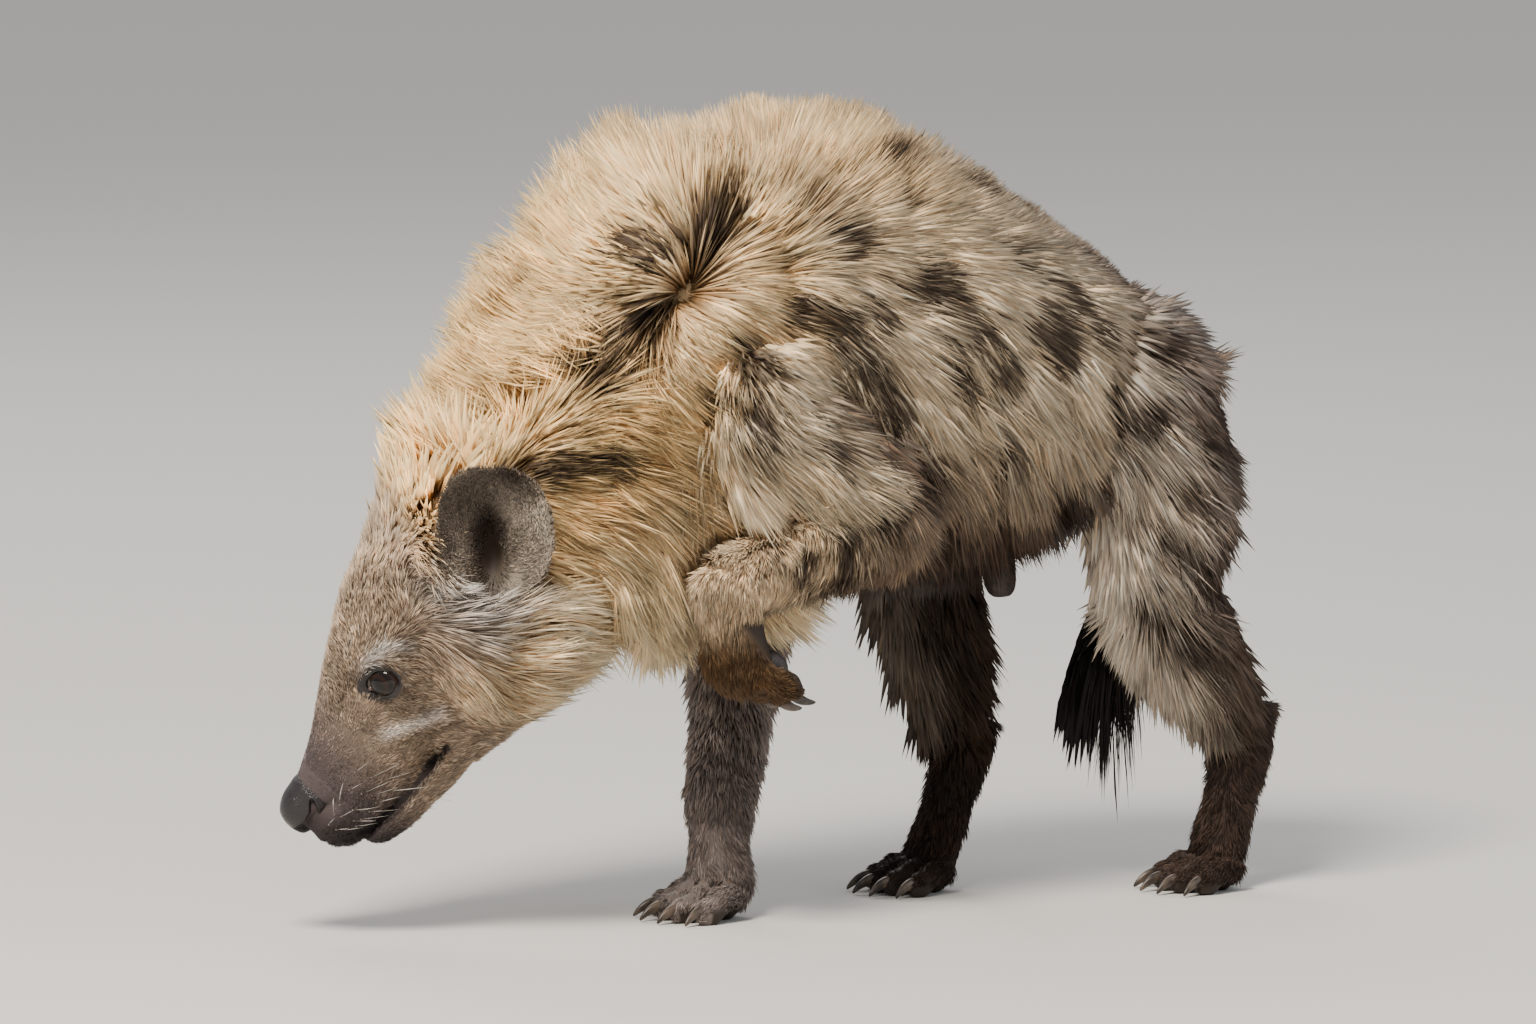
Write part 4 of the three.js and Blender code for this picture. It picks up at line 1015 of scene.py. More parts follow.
# %% [markdown]
# ## Colours and markings
# The coat's colour is mixed from a few named colours, a dark one for the roots and a pale one for
# the tips, by place on the body. The spots come after: each is an oval drawn out along the hair.

# %% Named colours
def paint(red, green, blue):
    """A colour as seen on a screen, 0 to 255, as the light it stands for."""
    c = np.array([red, green, blue]) / 255.0
    return np.where(c <= 0.04045, c / 12.92, ((c + 0.055) / 1.055) ** 2.4)


def shade(*levels):
    """The colours of a hair's root and tip side by side, from their six values on a screen."""
    return np.concatenate([paint(*levels[:3]), paint(*levels[3:])])


def mix(a, b, t):
    t = np.asarray(t, float).reshape(-1, 1)
    return a * (1 - t) + b * t


# partly painted light: GOLD and RUFF are the neck's own golden colours, made paler still as painted sunlight
# on the neck and throat
GOLD = shade(172, 122, 70, 255, 218, 158)
RUFF = shade(212, 166, 116, 255, 236, 198)
MANE = shade(100, 72, 48, 228, 196, 150)
FLANK = shade(90, 68, 50, 236, 214, 182)
# LOW paints shade on the lower flank, the back of the upper arm, the elbow and the forearm's end under the
# body; on the back behind the withers it is the coat's own darker colour
LOW = shade(50, 37, 31, 122, 101, 85)
RUMP = shade(54, 42, 38, 142, 126, 115)
# painted shade: the belly's very dark colour stands for the shade under the body
BELLY_SHADE = shade(26, 15, 9, 52, 33, 21)
FRINGE = shade(128, 106, 88, 238, 222, 202)
LEG = shade(66, 52, 45, 116, 99, 86)
HAND = shade(60, 41, 23, 104, 77, 48)
PALM = shade(40, 33, 30, 72, 60, 52)
PAW = shade(150, 122, 96, 236, 210, 174)
FAR_LEG = shade(94, 82, 78, 152, 140, 134)
DARK_LEG = shade(42, 30, 25, 76, 59, 49)
# painted shade: the far hind leg's near black stands for the shade it lies in
FAR_HIND_SHADE = shade(22, 11, 6, 46, 27, 14)
ARM = shade(124, 96, 70, 250, 229, 194)
FACE = shade(120, 98, 82, 204, 180, 154)
MUZZLE = shade(74, 64, 64, 124, 110, 109)
LIP = shade(34, 27, 28, 56, 47, 48)
# partly painted light: PALE is paler than the fur's own colour, to light the patch below the ear against the
# ear's shadow
PALE = shade(208, 196, 186, 248, 241, 234)
EAR_BACK = shade(76, 66, 58, 124, 112, 100)
# painted shade: the near black of the ear's deep hollow
HOLLOW_SHADE = shade(21, 9, 3, 39, 22, 9)
EAR_IN = shade(114, 101, 90, 188, 174, 158)
TAIL = shade(18, 14, 13, 30, 24, 21)
SPOT = shade(36, 25, 20, 58, 42, 33)


# %% The coat's colour by part
colour = np.zeros((count, 6))
x_body = points[:, 0]
for k, part in enumerate(parts):
    s, angle = station[:, k], np.abs(turn[:, k])
    if part.name == "trunk":
        c = FLANK
        # painted shade: the lower flank darkens towards the underside
        c = mix(c, LOW, fade(angle, 84, 124))
        c = mix(c, RUMP, 0.95 * fade(x_body, 20, 170))
        c = mix(c, MANE, (1 - fade(angle, 30, 75)) * (1 - fade(x_body, -70, 40)))
        c = mix(c, LOW, 0.45 * (1 - fade(angle, 24, 64)) * fade(x_body, -90, -20))
        # painted shade: the belly is painted very dark, for the shade under the body
        c = mix(c, BELLY_SHADE, fade(angle, 106, 136))
    elif part.name == "neck":
        # the neck's golden coat holds painted sunlight as well as its own colour
        c = GOLD
        c = mix(c, MANE, (1 - fade(angle, 20, 70)) * fade(x_body, -250, -170))
        c = mix(c, RUFF, 0.7 * fade(angle, 75, 110))
        c = mix(c, FLANK, fade(x_body, -170, -110) * fade(angle, 60, 90))
    elif part.name == "tail":
        c = mix(RUMP, TAIL, fade(s, 0.18, 0.4))
    elif part.name in ("skull", "jaw"):
        x, y, z = head_points[:, 0], np.abs(head_points[:, 1]), head_points[:, 2]
        c = FACE
        c = mix(c, MUZZLE, fade(x + 0.2 * z, 122, 190))
        c = mix(c, LIP, 0.85 * fade(x - 0.5 * z, 206, 234))
        folded = np.stack([x, y, z], -1)
        lips = np.exp(-(beside(folded, MOUTH_LINE)[0] / 4.6) ** 4)
        crease = np.exp(-(beside(folded, FOLD_LINE + np.array((4, 0, 6)))[0] / 5.0) ** 2)
        brow = np.exp(-((np.hypot(x - 100, z - 2) - 21) / 4.5) ** 2) * fade(z, 4, 14) * (y > 20)
        c = mix(c, PALE, np.maximum(0.66 * crease, 0.8 * brow))
        c = mix(c, LIP, 0.95 * lips)
        off_eye = np.linalg.norm(folded - EYE, axis=1)
        dimple = np.exp(-((x - 124) / 8) ** 2 - ((z - 23) / 7) ** 2) * (y > 12)
        ring = np.exp(-((off_eye - 15) / 4.5) ** 2)
        c = mix(c, LIP, np.maximum(0.6 * dimple, 0.6 * ring))
        freckles = np.exp(-((x - 186) / 18) ** 2 - ((z + 36) / 12) ** 2) * (y > 8)
        c = mix(c, LIP, 0.6 * freckles)
        # the back of the head and the throat take the golden colours, painted sunlight included
        c = mix(c, GOLD, 1 - fade(x, 4, 40))
        c = mix(c, RUFF, (1 - fade(x, 52, 100)) * fade(-z, 8, 42))
        # partly painted light: the pale fur below the ear is painted paler against the shadow that the ear
        # casts
        below_ear = np.exp(-(((x - 24) / 26) ** 2 + ((z - 6) / 34) ** 2) ** 1.5) * fade(y, 34, 50)
        c = mix(c, PALE, 0.9 * below_ear)
    elif part.name.startswith("thigh"):
        front = np.cos(np.radians(angle))
        c = mix(RUMP, FRINGE, fade(front, 0.0, 0.8) * fade(s, 0.05, 0.5))
        c = mix(c, DARK_LEG, fade(-front, 0.0, 0.6) * fade(s, 0.15, 0.6))
    elif part.name.startswith("shank"):
        front = np.cos(np.radians(angle))
        c = mix(LEG, FRINGE, fade(front, 0.35, 0.95))
        c = mix(c, DARK_LEG, np.maximum(fade(-front, -0.2, 0.4), fade(s, 0.4, 0.9)))
    elif part.name.startswith("arm"):
        front = np.cos(np.radians(angle))
        c = mix(FLANK, ARM, fade(s, 0.35, 0.8) * fade(front, -0.1, 0.7))
        # painted shade: the back of the upper arm and the elbow under the body take the lower flank's dark
        # colour
        elbow = 0.85 * fade(x_body, -110, -70) * fade(s, 0.5, 0.8)
        c = FAR_LEG if part.name == "arm_right" else mix(c, LOW, np.maximum(fade(-front, -0.1, 0.6), elbow))
    elif part.name == "fore_left" or part.name.startswith("forefoot_left"):
        c = PAW
        if part.name.startswith("forefoot_left"):
            c = mix(c, HAND, fade(s, 0.3, 0.6) if "cannon" in part.name else 1)
        # painted shade: the forearm's end under the body and its underside are painted darker
        c = mix(c, LOW, 0.85 * fade(x_body, -132, -88))
        c = mix(c, DARK_LEG, 0.5 * fade(angle, 110, 165))
    elif part.name == "fore_right" or part.name.startswith("forefoot_right"):
        c = FAR_LEG
    else:
        c = DARK_LEG
    # painted shade: the inner side of each leg, but not of the upper arm, is darker, for the shade it lies in
    if part.name.startswith(("thigh", "shank", "arm", "fore", "hind")):
        inwards = 1 if "left" in part.name else -1
        inner_side_shade = fade((points[:, 1] - part.line[line_index[:, k], 1]) * inwards, 4, 26)
        c = mix(c, DARK_LEG, inner_side_shade * (0 if part.name.startswith("arm") else 0.55))
    # painted shade: the far hind leg is painted near black, all but the outer top of its thigh
    if part.name in ("thigh_right", "shank_right") or part.name.startswith("hindfoot_right"):
        outer = (1 - inner_side_shade) * (1 - fade(s, 0.5, 0.9)) * (part.name == "thigh_right")
        c = mix(c, FAR_HIND_SHADE, 0.85 * (1 - outer))
    colour += shares[:, k][:, None] * c
ear_light = ear_inside * fade(30 - ear_across - 0.4 * ear_along, 0, 30) * fade(44 - ear_along, 0, 30)
ear_colour = mix(EAR_BACK, EAR_IN, ear_light)
colour = mix(colour, ear_colour, ear_share)
# painted shade: the deep of each ear's hollow is painted near black
colour = mix(colour, HOLLOW_SHADE, ear_hollow_shade)
palm_share = np.zeros(count)
for foot in FEET:
    away = points - foot["ball"]
    near_palm = np.linalg.norm(away, axis=1) < 46
    palm_share = np.maximum(palm_share, fade(away @ foot["down"], 5, 13) * near_palm)
colour = mix(colour, PALM, palm_share)

# %% [markdown]
# The spots of the near side were read from the picture one by one: pixel, half length and half
# width in pixels, and how dark. The far side has the body's spots mirrored, each moved and resized
# a little at random, as no animal is the same on both sides. A spot is seen at the hair's middle
# and not at its root, so each place is looked up on the middles of the hairs.

# %% Spots
SPOTS = [
    (721, 250, 24, 15, 0.9), (737, 205, 34, 9, 0.55), (694, 288, 22, 13, 0.85), (651, 322, 20, 13, 0.9),
    (603, 374, 30, 13, 0.75), (654, 262, 16, 10, 0.35), (838, 243, 20, 13, 0.75), (790, 308, 22, 13, 0.85),
    (826, 312, 26, 14, 0.8), (747, 352, 24, 14, 0.85), (706, 382, 18, 13, 0.7), (864, 350, 22, 13, 0.8),
    (889, 394, 28, 14, 0.85), (921, 286, 30, 16, 0.8), (895, 152, 30, 12, 0.7), (972, 182, 20, 12, 0.7),
    (758, 402, 22, 12, 0.8), (948, 362, 26, 13, 0.7), (1015, 200, 24, 12, 0.8), (1099, 256, 18, 12, 0.7),
    (1056, 282, 24, 13, 0.75), (1045, 328, 30, 17, 0.9), (1084, 313, 20, 11, 0.75), (1160, 330, 18, 12, 0.8),
    (1143, 352, 18, 11, 0.8), (990, 352, 24, 13, 0.8), (916, 464, 26, 14, 0.75), (1155, 402, 20, 11, 0.75),
    (1120, 408, 18, 11, 0.7), (1209, 436, 24, 12, 0.8), (1186, 482, 24, 12, 0.7), (1071, 486, 30, 12, 0.7),
    (605, 460, 24, 13, 0.7), (535, 466, 26, 13, 0.7), (1004, 430, 22, 11, 0.55), (830, 440, 22, 11, 0.6),
    (868, 300, 18, 11, 0.6), (960, 310, 22, 12, 0.6), (1010, 250, 22, 11, 0.5), (1165, 540, 26, 12, 0.6),
    (1205, 560, 26, 12, 0.7), (1148, 620, 24, 11, 0.55), (1195, 650, 24, 12, 0.6), (856, 542, 28, 13, 0.75),
    (814, 558, 20, 9, 0.65), (780, 540, 14, 8, 0.45), (888, 516, 24, 14, 0.65), (1120, 520, 20, 10, 0.4),
    (700, 640, 14, 10, 0.3)]
lift_mean = np.radians((lift_root + lift_tip) / 2)
tips = points + length[:, None] * (np.cos(lift_mean)[:, None] * lie + np.sin(lift_mean)[:, None] * normals)
middles = points + 0.72 * (tips - points)
middle_places = to_picture(middles)
body_share = group_of({"trunk", "neck", "thigh_left", "arm_left", "shank_left", "fore_left"})
near_body = np.flatnonzero((body_share > 0.5) & (normals @ view_back > 0.0) & (points[:, 1] < 40))
spots = []
for u, v, half_long, half_wide, dark in SPOTS:
    at = nearest_seen(np.array([u, v]), near_body, middle_places, 6.0)
    spots.append((middles[at], lie[at], normals[at], half_long / PIXELS_PER_MM, half_wide / PIXELS_PER_MM,
                  dark))
far_draw = np.random.default_rng(23)
for middle, way, normal, half_long, half_wide, dark in list(spots):
    axis_y = np.interp(middle[0], [-330, -300, -250, -190, -130], [36, 26, 14, 4, 0])
    if middle[1] < axis_y - 15 and middle[2] > 210:
        shifted = middle + far_draw.normal(0, 11, 3)
        far_spot = np.array([shifted[0], 2 * axis_y - shifted[1], shifted[2]])
        spots.append((far_spot, way * (1, -1, 1), normal * (1, -1, 1), half_long * far_draw.uniform(0.8, 1.2),
                      half_wide * far_draw.uniform(0.8, 1.2), dark))


def spot_share(places_mm):
    """How far each place lies in a spot, from 0 to 1."""
    most = np.zeros(len(places_mm))
    for middle, way, normal, half_long, half_wide, dark in spots:
        away = places_mm - middle
        close = np.flatnonzero((np.abs(away) < 2 * half_long + 30).all(1))
        a = away[close]
        forward = a @ way
        aside = a @ np.cross(normal, way)
        inside = dark * np.exp(-((forward / (1.25 * half_long)) ** 2 + (aside / (1.3 * half_wide)) ** 2))
        most[close] = np.maximum(most[close], inside)
    return most


print("spots:", len(spots))

# %% [markdown]
# ## Tufts
# A tuft is a thin sliver that ends in a point. Its points are wound round its centre line like a
# spiral stair and closed by triangles: six points and eight triangles for the long hair of the
# tail, four points and four triangles for the rest, so that the hair can be finer. The centre line
# leaves the skin at the lift of the root and bends down towards the tip. Tufts near to each other
# lean to the same seed tuft, so that the coat breaks into locks as real fur does.

# %% Grow tufts on the skin
skin_mesh.calc_loop_triangles()
corners = np.empty(len(skin_mesh.loop_triangles) * 3, np.int32)
skin_mesh.loop_triangles.foreach_get("vertices", corners)
corners = corners.reshape(-1, 3)
edge_a = points[corners[:, 1]] - points[corners[:, 0]]
edge_b = points[corners[:, 2]] - points[corners[:, 0]]
triangle_area = 0.5 * np.linalg.norm(np.cross(edge_a, edge_b), axis=1)
LONG = dict(steps=np.array([0.0, 0.1, 0.3, 0.55, 0.8, 1.0]), fat=np.array([0.0, 0.9, 1.0, 0.8, 0.45, 0.0]),
            faces=np.array([(0, 1, 2), (0, 3, 1), (0, 2, 3), (1, 4, 2), (1, 3, 4), (2, 5, 3), (2, 4, 5),
                            (3, 5, 4)]),
            patch=np.array([(0.5, 0.0), (0.0, 0.15), (1.0, 0.35), (0.0, 0.55), (0.9, 0.8), (0.5, 1.0)]))
SHORT = dict(steps=np.array([0.0, 0.22, 0.6, 1.0]), fat=np.array([0.0, 1.15, 0.9, 0.0]),
             faces=np.array([(0, 1, 2), (0, 3, 1), (0, 2, 3), (1, 3, 2)]),
             patch=np.array([(0.5, 0.0), (0.0, 0.3), (1.0, 0.6), (0.5, 1.0)]))
PATCH_SIZE = 0.003
CLUMP = 24            # tufts in one lock
DROOP = 0.2           # how far the tips of long hair sink
RAGGED = 0.16         # spread of the lengths


def wave(p, scale, seed):
    """Slow, smooth noise over the body from a few crossed waves, between about -1 and 1."""
    draw = np.random.default_rng(seed)
    total = np.zeros(len(p))
    for _ in range(6):
        way = unit(draw.normal(size=3))
        total += np.sin(p @ way * (2 * np.pi / scale) * draw.uniform(0.6, 1.5) + draw.uniform(0, 6.3))
    return total / 2.5


def sliver_mesh(name, rows, thickness, tones, bake, kind):
    """A mesh of closed slivers from their centre lines, thickness, colours and UV roots."""
    n, m = rows.shape[:2]
    along = unit(rows[:, -1] - rows[:, 0])
    helper = np.where(np.abs(along[:, 2:3]) < 0.9, [[0, 0, 1.0]], [[1.0, 0, 0]])
    across = unit(np.cross(along, helper))
    over = np.cross(along, across)
    phase = rng.uniform(0, 2 * np.pi, n)
    places = np.empty((n, m, 3))
    for k in range(m):
        around = phase + k * 2 * np.pi / 3
        push = (thickness * kind["fat"][k] / 2)[:, None]
        places[:, k] = rows[:, k] + push * (np.cos(around)[:, None] * across + np.sin(around)[:, None] * over)
    places[..., 2] = np.maximum(places[..., 2], 0.4)
    mesh = bpy.data.meshes.new(name)
    mesh.vertices.add(m * n)
    mesh.vertices.foreach_set("co", metres(places.reshape(-1, 3)).astype(np.float32).ravel())
    faces = (kind["faces"][None] + m * np.arange(n)[:, None, None]).reshape(-1, 3).astype(np.int32)
    mesh.loops.add(faces.size)
    mesh.loops.foreach_set("vertex_index", faces.ravel())
    mesh.polygons.add(len(faces))
    mesh.polygons.foreach_set("loop_start", np.arange(0, faces.size, 3, dtype=np.int32))
    mesh.update(calc_edges=True)
    mesh.shade_smooth()
    tone = mesh.color_attributes.new("tone", "FLOAT_COLOR", "POINT")
    shaded = np.ones((n, m, 4), np.float32)
    shaded[..., :3] = tones
    tone.data.foreach_set("color", shaded.ravel())
    uv = mesh.uv_layers.new(name="OFBake")
    patch = bake[:, None] + PATCH_SIZE * (kind["patch"][None] - 0.5)
    uv.data.foreach_set("uv", patch.reshape(-1, 2)[faces.ravel()].astype(np.float32).ravel())
    return new_piece(name, mesh)


def roots_on(mask, number, want):
    """Roots drawn on the triangles of a region, denser where the wish is higher."""
    chance = triangle_area * (mask[corners].mean(1) > 0.5) * want[corners].mean(1)
    chosen = rng.choice(len(corners), number, p=chance / chance.sum())
    a, b = rng.random(number), rng.random(number)
    a, b = np.where(a + b > 1, 1 - a, a), np.where(a + b > 1, 1 - b, b)
    blend = np.stack([1 - a - b, a, b], -1)
    triangle = corners[chosen]
    return lambda field: (field[triangle] * blend.reshape(number, 3, *([1] * (field.ndim - 1)))).sum(1)


def tree_of(places):
    """A search tree that finds the nearest of many places."""
    tree = kdtree.KDTree(len(places))
    for order, place in enumerate(places):
        tree.insert(place, order)
    tree.balance()
    return tree


LEG_IN_FRONT = [part for part in parts if part.name in ("fore_left", "forefoot_left_cannon")]


def clear_of_leg(rows):
    """Tells which tufts of the body don't run through the lifted foreleg."""
    stay = np.ones(len(rows), bool)
    for part in LEG_IN_FRONT:
        low, high = part.line[:, :3].min(0) - 45, part.line[:, :3].max(0) + 45
        for k in (rows.shape[1] // 2, -1):
            near = np.flatnonzero(((rows[:, k] > low) & (rows[:, k] < high)).all(1))
            if len(near):
                line = part.line[part.locate(rows[near, k])[3]]
                size = line[:, 3:6].mean(1)
                stay[near] &= np.linalg.norm(rows[near, k] - line[:, :3], axis=1) > size + 5
    return stay


def clear_of_ears(rows):
    """Tells which tufts stay out of the bowls of the ears."""
    stay = np.ones(len(rows), bool)
    for side in (1, -1):
        tip, out, front, centre = ear_axes(side)
        for k in range(1, rows.shape[1]):
            away = to_head(rows[:, k]) - centre
            f, t, o = away @ front, away @ tip, away @ out
            from_middle = np.hypot((f + 5) / (EAR["width"] / 2), (t - 5) / (EAR["length"] / 2))
            stay &= ~((from_middle < 0.84 - 0.14 * (f > 0)) & (o > -34) & (o < 12))
    return stay


def grow(name, mask, number, want, bake_of, kind, pull=0.38, scatter=0.14, hang=None):
    """One piece of the coat: tufts on a region of the skin. `hang` is the way that loose hair falls."""
    at = roots_on(mask, number, want)
    root, normal, way = at(points), unit(at(normals)), at(lie)
    way = unit(way - (way * normal).sum(1)[:, None] * normal)
    aside = np.cross(normal, way)
    swing = 0.3 * wave(root, 70, 3) + 0.22 * wave(root, 24, 5) + rng.normal(0, scatter, number)
    way = np.cos(swing)[:, None] * way + np.sin(swing)[:, None] * aside
    long = at(length) * (1 + 0.12 * wave(root, 45, 11) + rng.normal(0, RAGGED, number)).clip(0.5, 1.3)
    stir = rng.normal(0, 7, number) + 6 * wave(root, 40, 17)
    lift_a, lift_b = np.radians(at(lift_root) + stir), np.radians(at(lift_tip) + 0.8 * stir)
    steps, m = kind["steps"], len(kind["steps"])
    rows = np.empty((number, m, 3))
    rows[:, 0] = root - np.minimum(1.2, 0.2 + 0.03 * long)[:, None] * normal
    sag = DROOP * np.clip(long / 45, 0, 1)
    if hang is not None:
        before = fade(normal @ unit(hang), -0.4, 0.3)
        loose = hang * (before * (0.3 + 2.0 * fade(root[:, 2], 168, 215)))[:, None]
        firm = (0.16 + 0.9 * fade(root[:, 2], 225, 290) + 0.3 * (1 - before))[:, None]
    for k in range(m - 1):
        t = (steps[k] + steps[k + 1]) / 2
        lift = lift_a + (lift_b - lift_a) * t
        heading = np.cos(lift)[:, None] * way + np.sin(lift)[:, None] * normal
        heading[:, 2] -= sag * t
        if hang is not None:
            heading = firm * heading + (1 - t) * loose + DOWN + 0.05 * aside * swing[:, None]
        rows[:, k + 1] = rows[:, k] + (long * (steps[k + 1] - steps[k]))[:, None] * unit(heading)
    # hair that would stand far off the solid body is bent back towards it
    rows[..., 2] = np.where(rows[..., 2] > 566, 566 + 0.4 * (rows[..., 2] - 566), rows[..., 2])
    beyond = np.maximum(np.abs(rows[..., 1]) - 132, 0) * np.sign(rows[..., 1])
    rows[..., 1] -= 0.7 * beyond
    seeds = rng.choice(number, max(number // CLUMP, 1), replace=False)
    tree = tree_of(root[seeds])
    mate = seeds[np.array([tree.find(place)[1] for place in root])]
    agree = fade((way * way[mate]).sum(1), 0.5, 0.9)
    lock_light = rng.normal(0, 0.18, number)[mate]
    lean = pull * agree * rng.uniform(0.3, 1.0, number)
    gather = rows[mate, -1] - rows[:, -1]
    far = np.linalg.norm(gather, axis=1)
    gather *= np.minimum(1, 0.45 * long / np.maximum(far, 1e-6))[:, None]
    rows += lean[:, None, None] * gather[:, None] * (steps ** 1.6)[None, :, None]
    stay = np.ones(number, bool)
    if name.startswith(("coat_trunk", "coat_neck", "coat_fore_right", "coat_mane")):
        stay = clear_of_leg(rows)
    if name.startswith(("coat_neck", "coat_fore_right", "coat_mane", "coat_head", "coat_face")):
        stay &= clear_of_ears(rows) | (at(ear_share) > 0.5)
    rows, root, lock_light = rows[stay], root[stay], lock_light[stay]
    number = len(rows)
    spot = spot_share(0.35 * rows[:, -3] + 0.65 * rows[:, -2] + rng.normal(0, 4.0, (number, 3)))
    tone = at(colour)[stay]
    light = lock_light + rng.normal(0, 0.17, number) + 0.14 * wave(root, 32, 29) + 0.12 * wave(root, 10, 31)
    light = np.exp(light)[:, None]
    root_tone, tip_tone = tone[:, :3] * light, tone[:, 3:] * light
    warm = rng.normal(0, 0.05, number)[:, None] * np.array([1.0, 0.0, -1.0])
    root_tone, tip_tone = root_tone * (1 + warm), tip_tone * (1 + warm)
    dark = fade(spot * rng.uniform(0.7, 1.3, number), 0.12, 0.48) * rng.uniform(0.82, 1.0, number)
    root_tone, tip_tone = mix(root_tone, SPOT[:3], dark), mix(tip_tone, SPOT[3:], dark)
    blend = fade(steps, 0.05, 0.85)[None, :, None]
    tones = root_tone[:, None] * (1 - blend) + tip_tone[:, None] * blend
    thick = at(width)[stay] * rng.uniform(0.75, 1.25, number)
    piece = sliver_mesh(name, rows, thick, tones, at(bake_of)[stay], kind)
    print(name, "tufts:", number, "triangles:", len(piece.data.polygons))
    return piece


# %% [markdown]
# Each tuft's small patch in the OFBake map lies at its root's place on an unwrap of the body. Every
# part is unwrapped as a tube, along and around, and the parts of one coat piece lie side by side.

# %% The unwrap
def unwrap(members):
    """A place between 0 and 1 for each point of the skin, with a column for each part of a piece."""
    columns = {name: k for k, name in enumerate(members)}
    n = len(members) + 2
    column = np.array([columns.get(name, 0) for name in names])[owner]
    along = station[np.arange(count), owner]
    around = (turn[np.arange(count), owner] + 180) / 360
    on_ear = ear_share > 0.5
    column = np.where(on_ear, len(members) + (ear_inside > 0.5), column)
    along = np.where(on_ear, (ear_across + 50) / 100, along)
    around = np.where(on_ear, (ear_along + 60) / 120 / 2 + 0.5 * (head_points[:, 1] < 0), around)
    return np.stack([(column + 0.02 + 0.96 * along.clip(0, 1)) / n, around.clip(0, 1)], -1)

# %% Where no tuft grows
from_eye = np.minimum(*(np.linalg.norm(head_points - EYE * (1, side, 1), axis=1) for side in (1, -1)))
on_face = np.array([name in ("skull", "jaw") for name in names])[owner] & (ear_share < 0.5)
at_eye = np.minimum(*(np.where(from_eye < 24, eye_reach(head_points, side)[0], 9) for side in (1, -1)))
bald = on_face & ((at_eye < 1.34) | ((head_points[:, 0] > 203) & (head_points[:, 2] > -28)))
bald |= on_face & (beside(head_points, MOUTH_LINE)[0] < 2.6) & (np.abs(head_points[:, 1]) > 6)
bald |= (ear_hollow_shade > 0.5) & ((ear_share < 0.5) | (np.hypot((ear_across - 1) / 7, (ear_along + 22) / 13) < 1))
bald |= (points[:, 2] < 3) | (palm_share > 0.7)

# %% The coat, piece by piece
left_side = turn[np.arange(count), owner] > 0
furred = ~bald & (ear_share < 0.5)
part_of = lambda *wanted: np.array([name.startswith(wanted) for name in names])[owner] & furred
crest = part_of("trunk", "neck") & (np.abs(turn[np.arange(count), owner]) < 42)
want = 1.0 / np.sqrt(np.maximum(length * width, 2.0))
face_front = head_points[:, 0] > 58
share_grown = 1.0
COAT = [
    ("coat_mane", crest, 49000, ["trunk", "neck"], "torso_coat"),
    ("coat_trunk_left", part_of("trunk") & ~crest & left_side, 49000, ["trunk"], "torso_coat"),
    ("coat_trunk_right", part_of("trunk") & ~crest & ~left_side, 31000, ["trunk"], "torso_coat"),
    ("coat_neck_left", part_of("neck") & ~crest & left_side, 34000, ["neck"], "neck_coat"),
    ("coat_neck_right", part_of("neck") & ~crest & ~left_side, 20000, ["neck"], "neck_coat"),
    *[(f"coat_{leg}_{side_name}", part_of(*(f"{name}_{side_name}" for name in (*lengths, foot))), number,
       [f"{name}_{side_name}" for name in lengths] + [f"{foot}_{side_name}_cannon"], "leg_fur")
      for leg, lengths, foot, numbers in (("hind", ("thigh", "shank"), "hindfoot", (38000, 20000)),
                                          ("fore", ("arm", "fore"), "forefoot", (31000, 17000)))
      for side_name, number in zip(("left", "right"), numbers)],
    ("coat_tail", part_of("tail"), 5500, ["tail"], "tail_coat"),
    ("coat_face", part_of("skull", "jaw") & face_front, 36000, ["skull", "jaw"], "face_fur"),
    ("coat_head", ((part_of("skull", "jaw") & ~face_front) | (ear_share >= 0.5)) & ~bald, 36000,
     ["skull", "jaw"], "face_fur")]
coat_pieces = []
for name, mask, number, members, slot_name in COAT:
    kind = LONG if name == "coat_tail" else SHORT
    combed = dict(scatter=0.05, pull=0.15, hang=-0.42 * view_right) if name == "coat_tail" else {}
    piece = grow(name, mask, int(number * share_grown), want, unwrap(members), kind, **combed)
    coat_pieces.append(piece)

# %% [markdown]
# ## Materials
# The colour of a tuft is stored on its points, so one material serves the whole coat. A slow noise
# breaks the evenness, and roughness follows it.

# %% The coat's material
def new_material(name):
    material = bpy.data.materials.new(name)
    material.use_nodes = True
    nodes, links = material.node_tree.nodes, material.node_tree.links
    return material, nodes, links, nodes["Principled BSDF"]


def add(nodes, kind, **values):
    """A new node whose sockets or settings are given by name."""
    node = nodes.new("ShaderNode" + kind)
    for name, value in values.items():
        if name.replace("_", " ") in node.inputs:
            node.inputs[name.replace("_", " ")].default_value = value
        else:
            setattr(node, name, value)
    return node


def wire(links, *wires):
    """Links from an output to an input, each given as node, name, node, name."""
    for source, output, target, socket in wires:
        links.new(source.outputs[output], target.inputs[socket])


def new_group(name, sockets):
    """A node group with its sockets, given as name, way in or out, and kind."""
    group = bpy.data.node_groups.new(name, "ShaderNodeTree")
    for socket, in_out, kind in sockets:
        group.interface.new_socket(socket, in_out=in_out, socket_type="NodeSocket" + kind)
    return group, group.nodes, group.nodes.new("NodeGroupInput"), group.nodes.new("NodeGroupOutput")


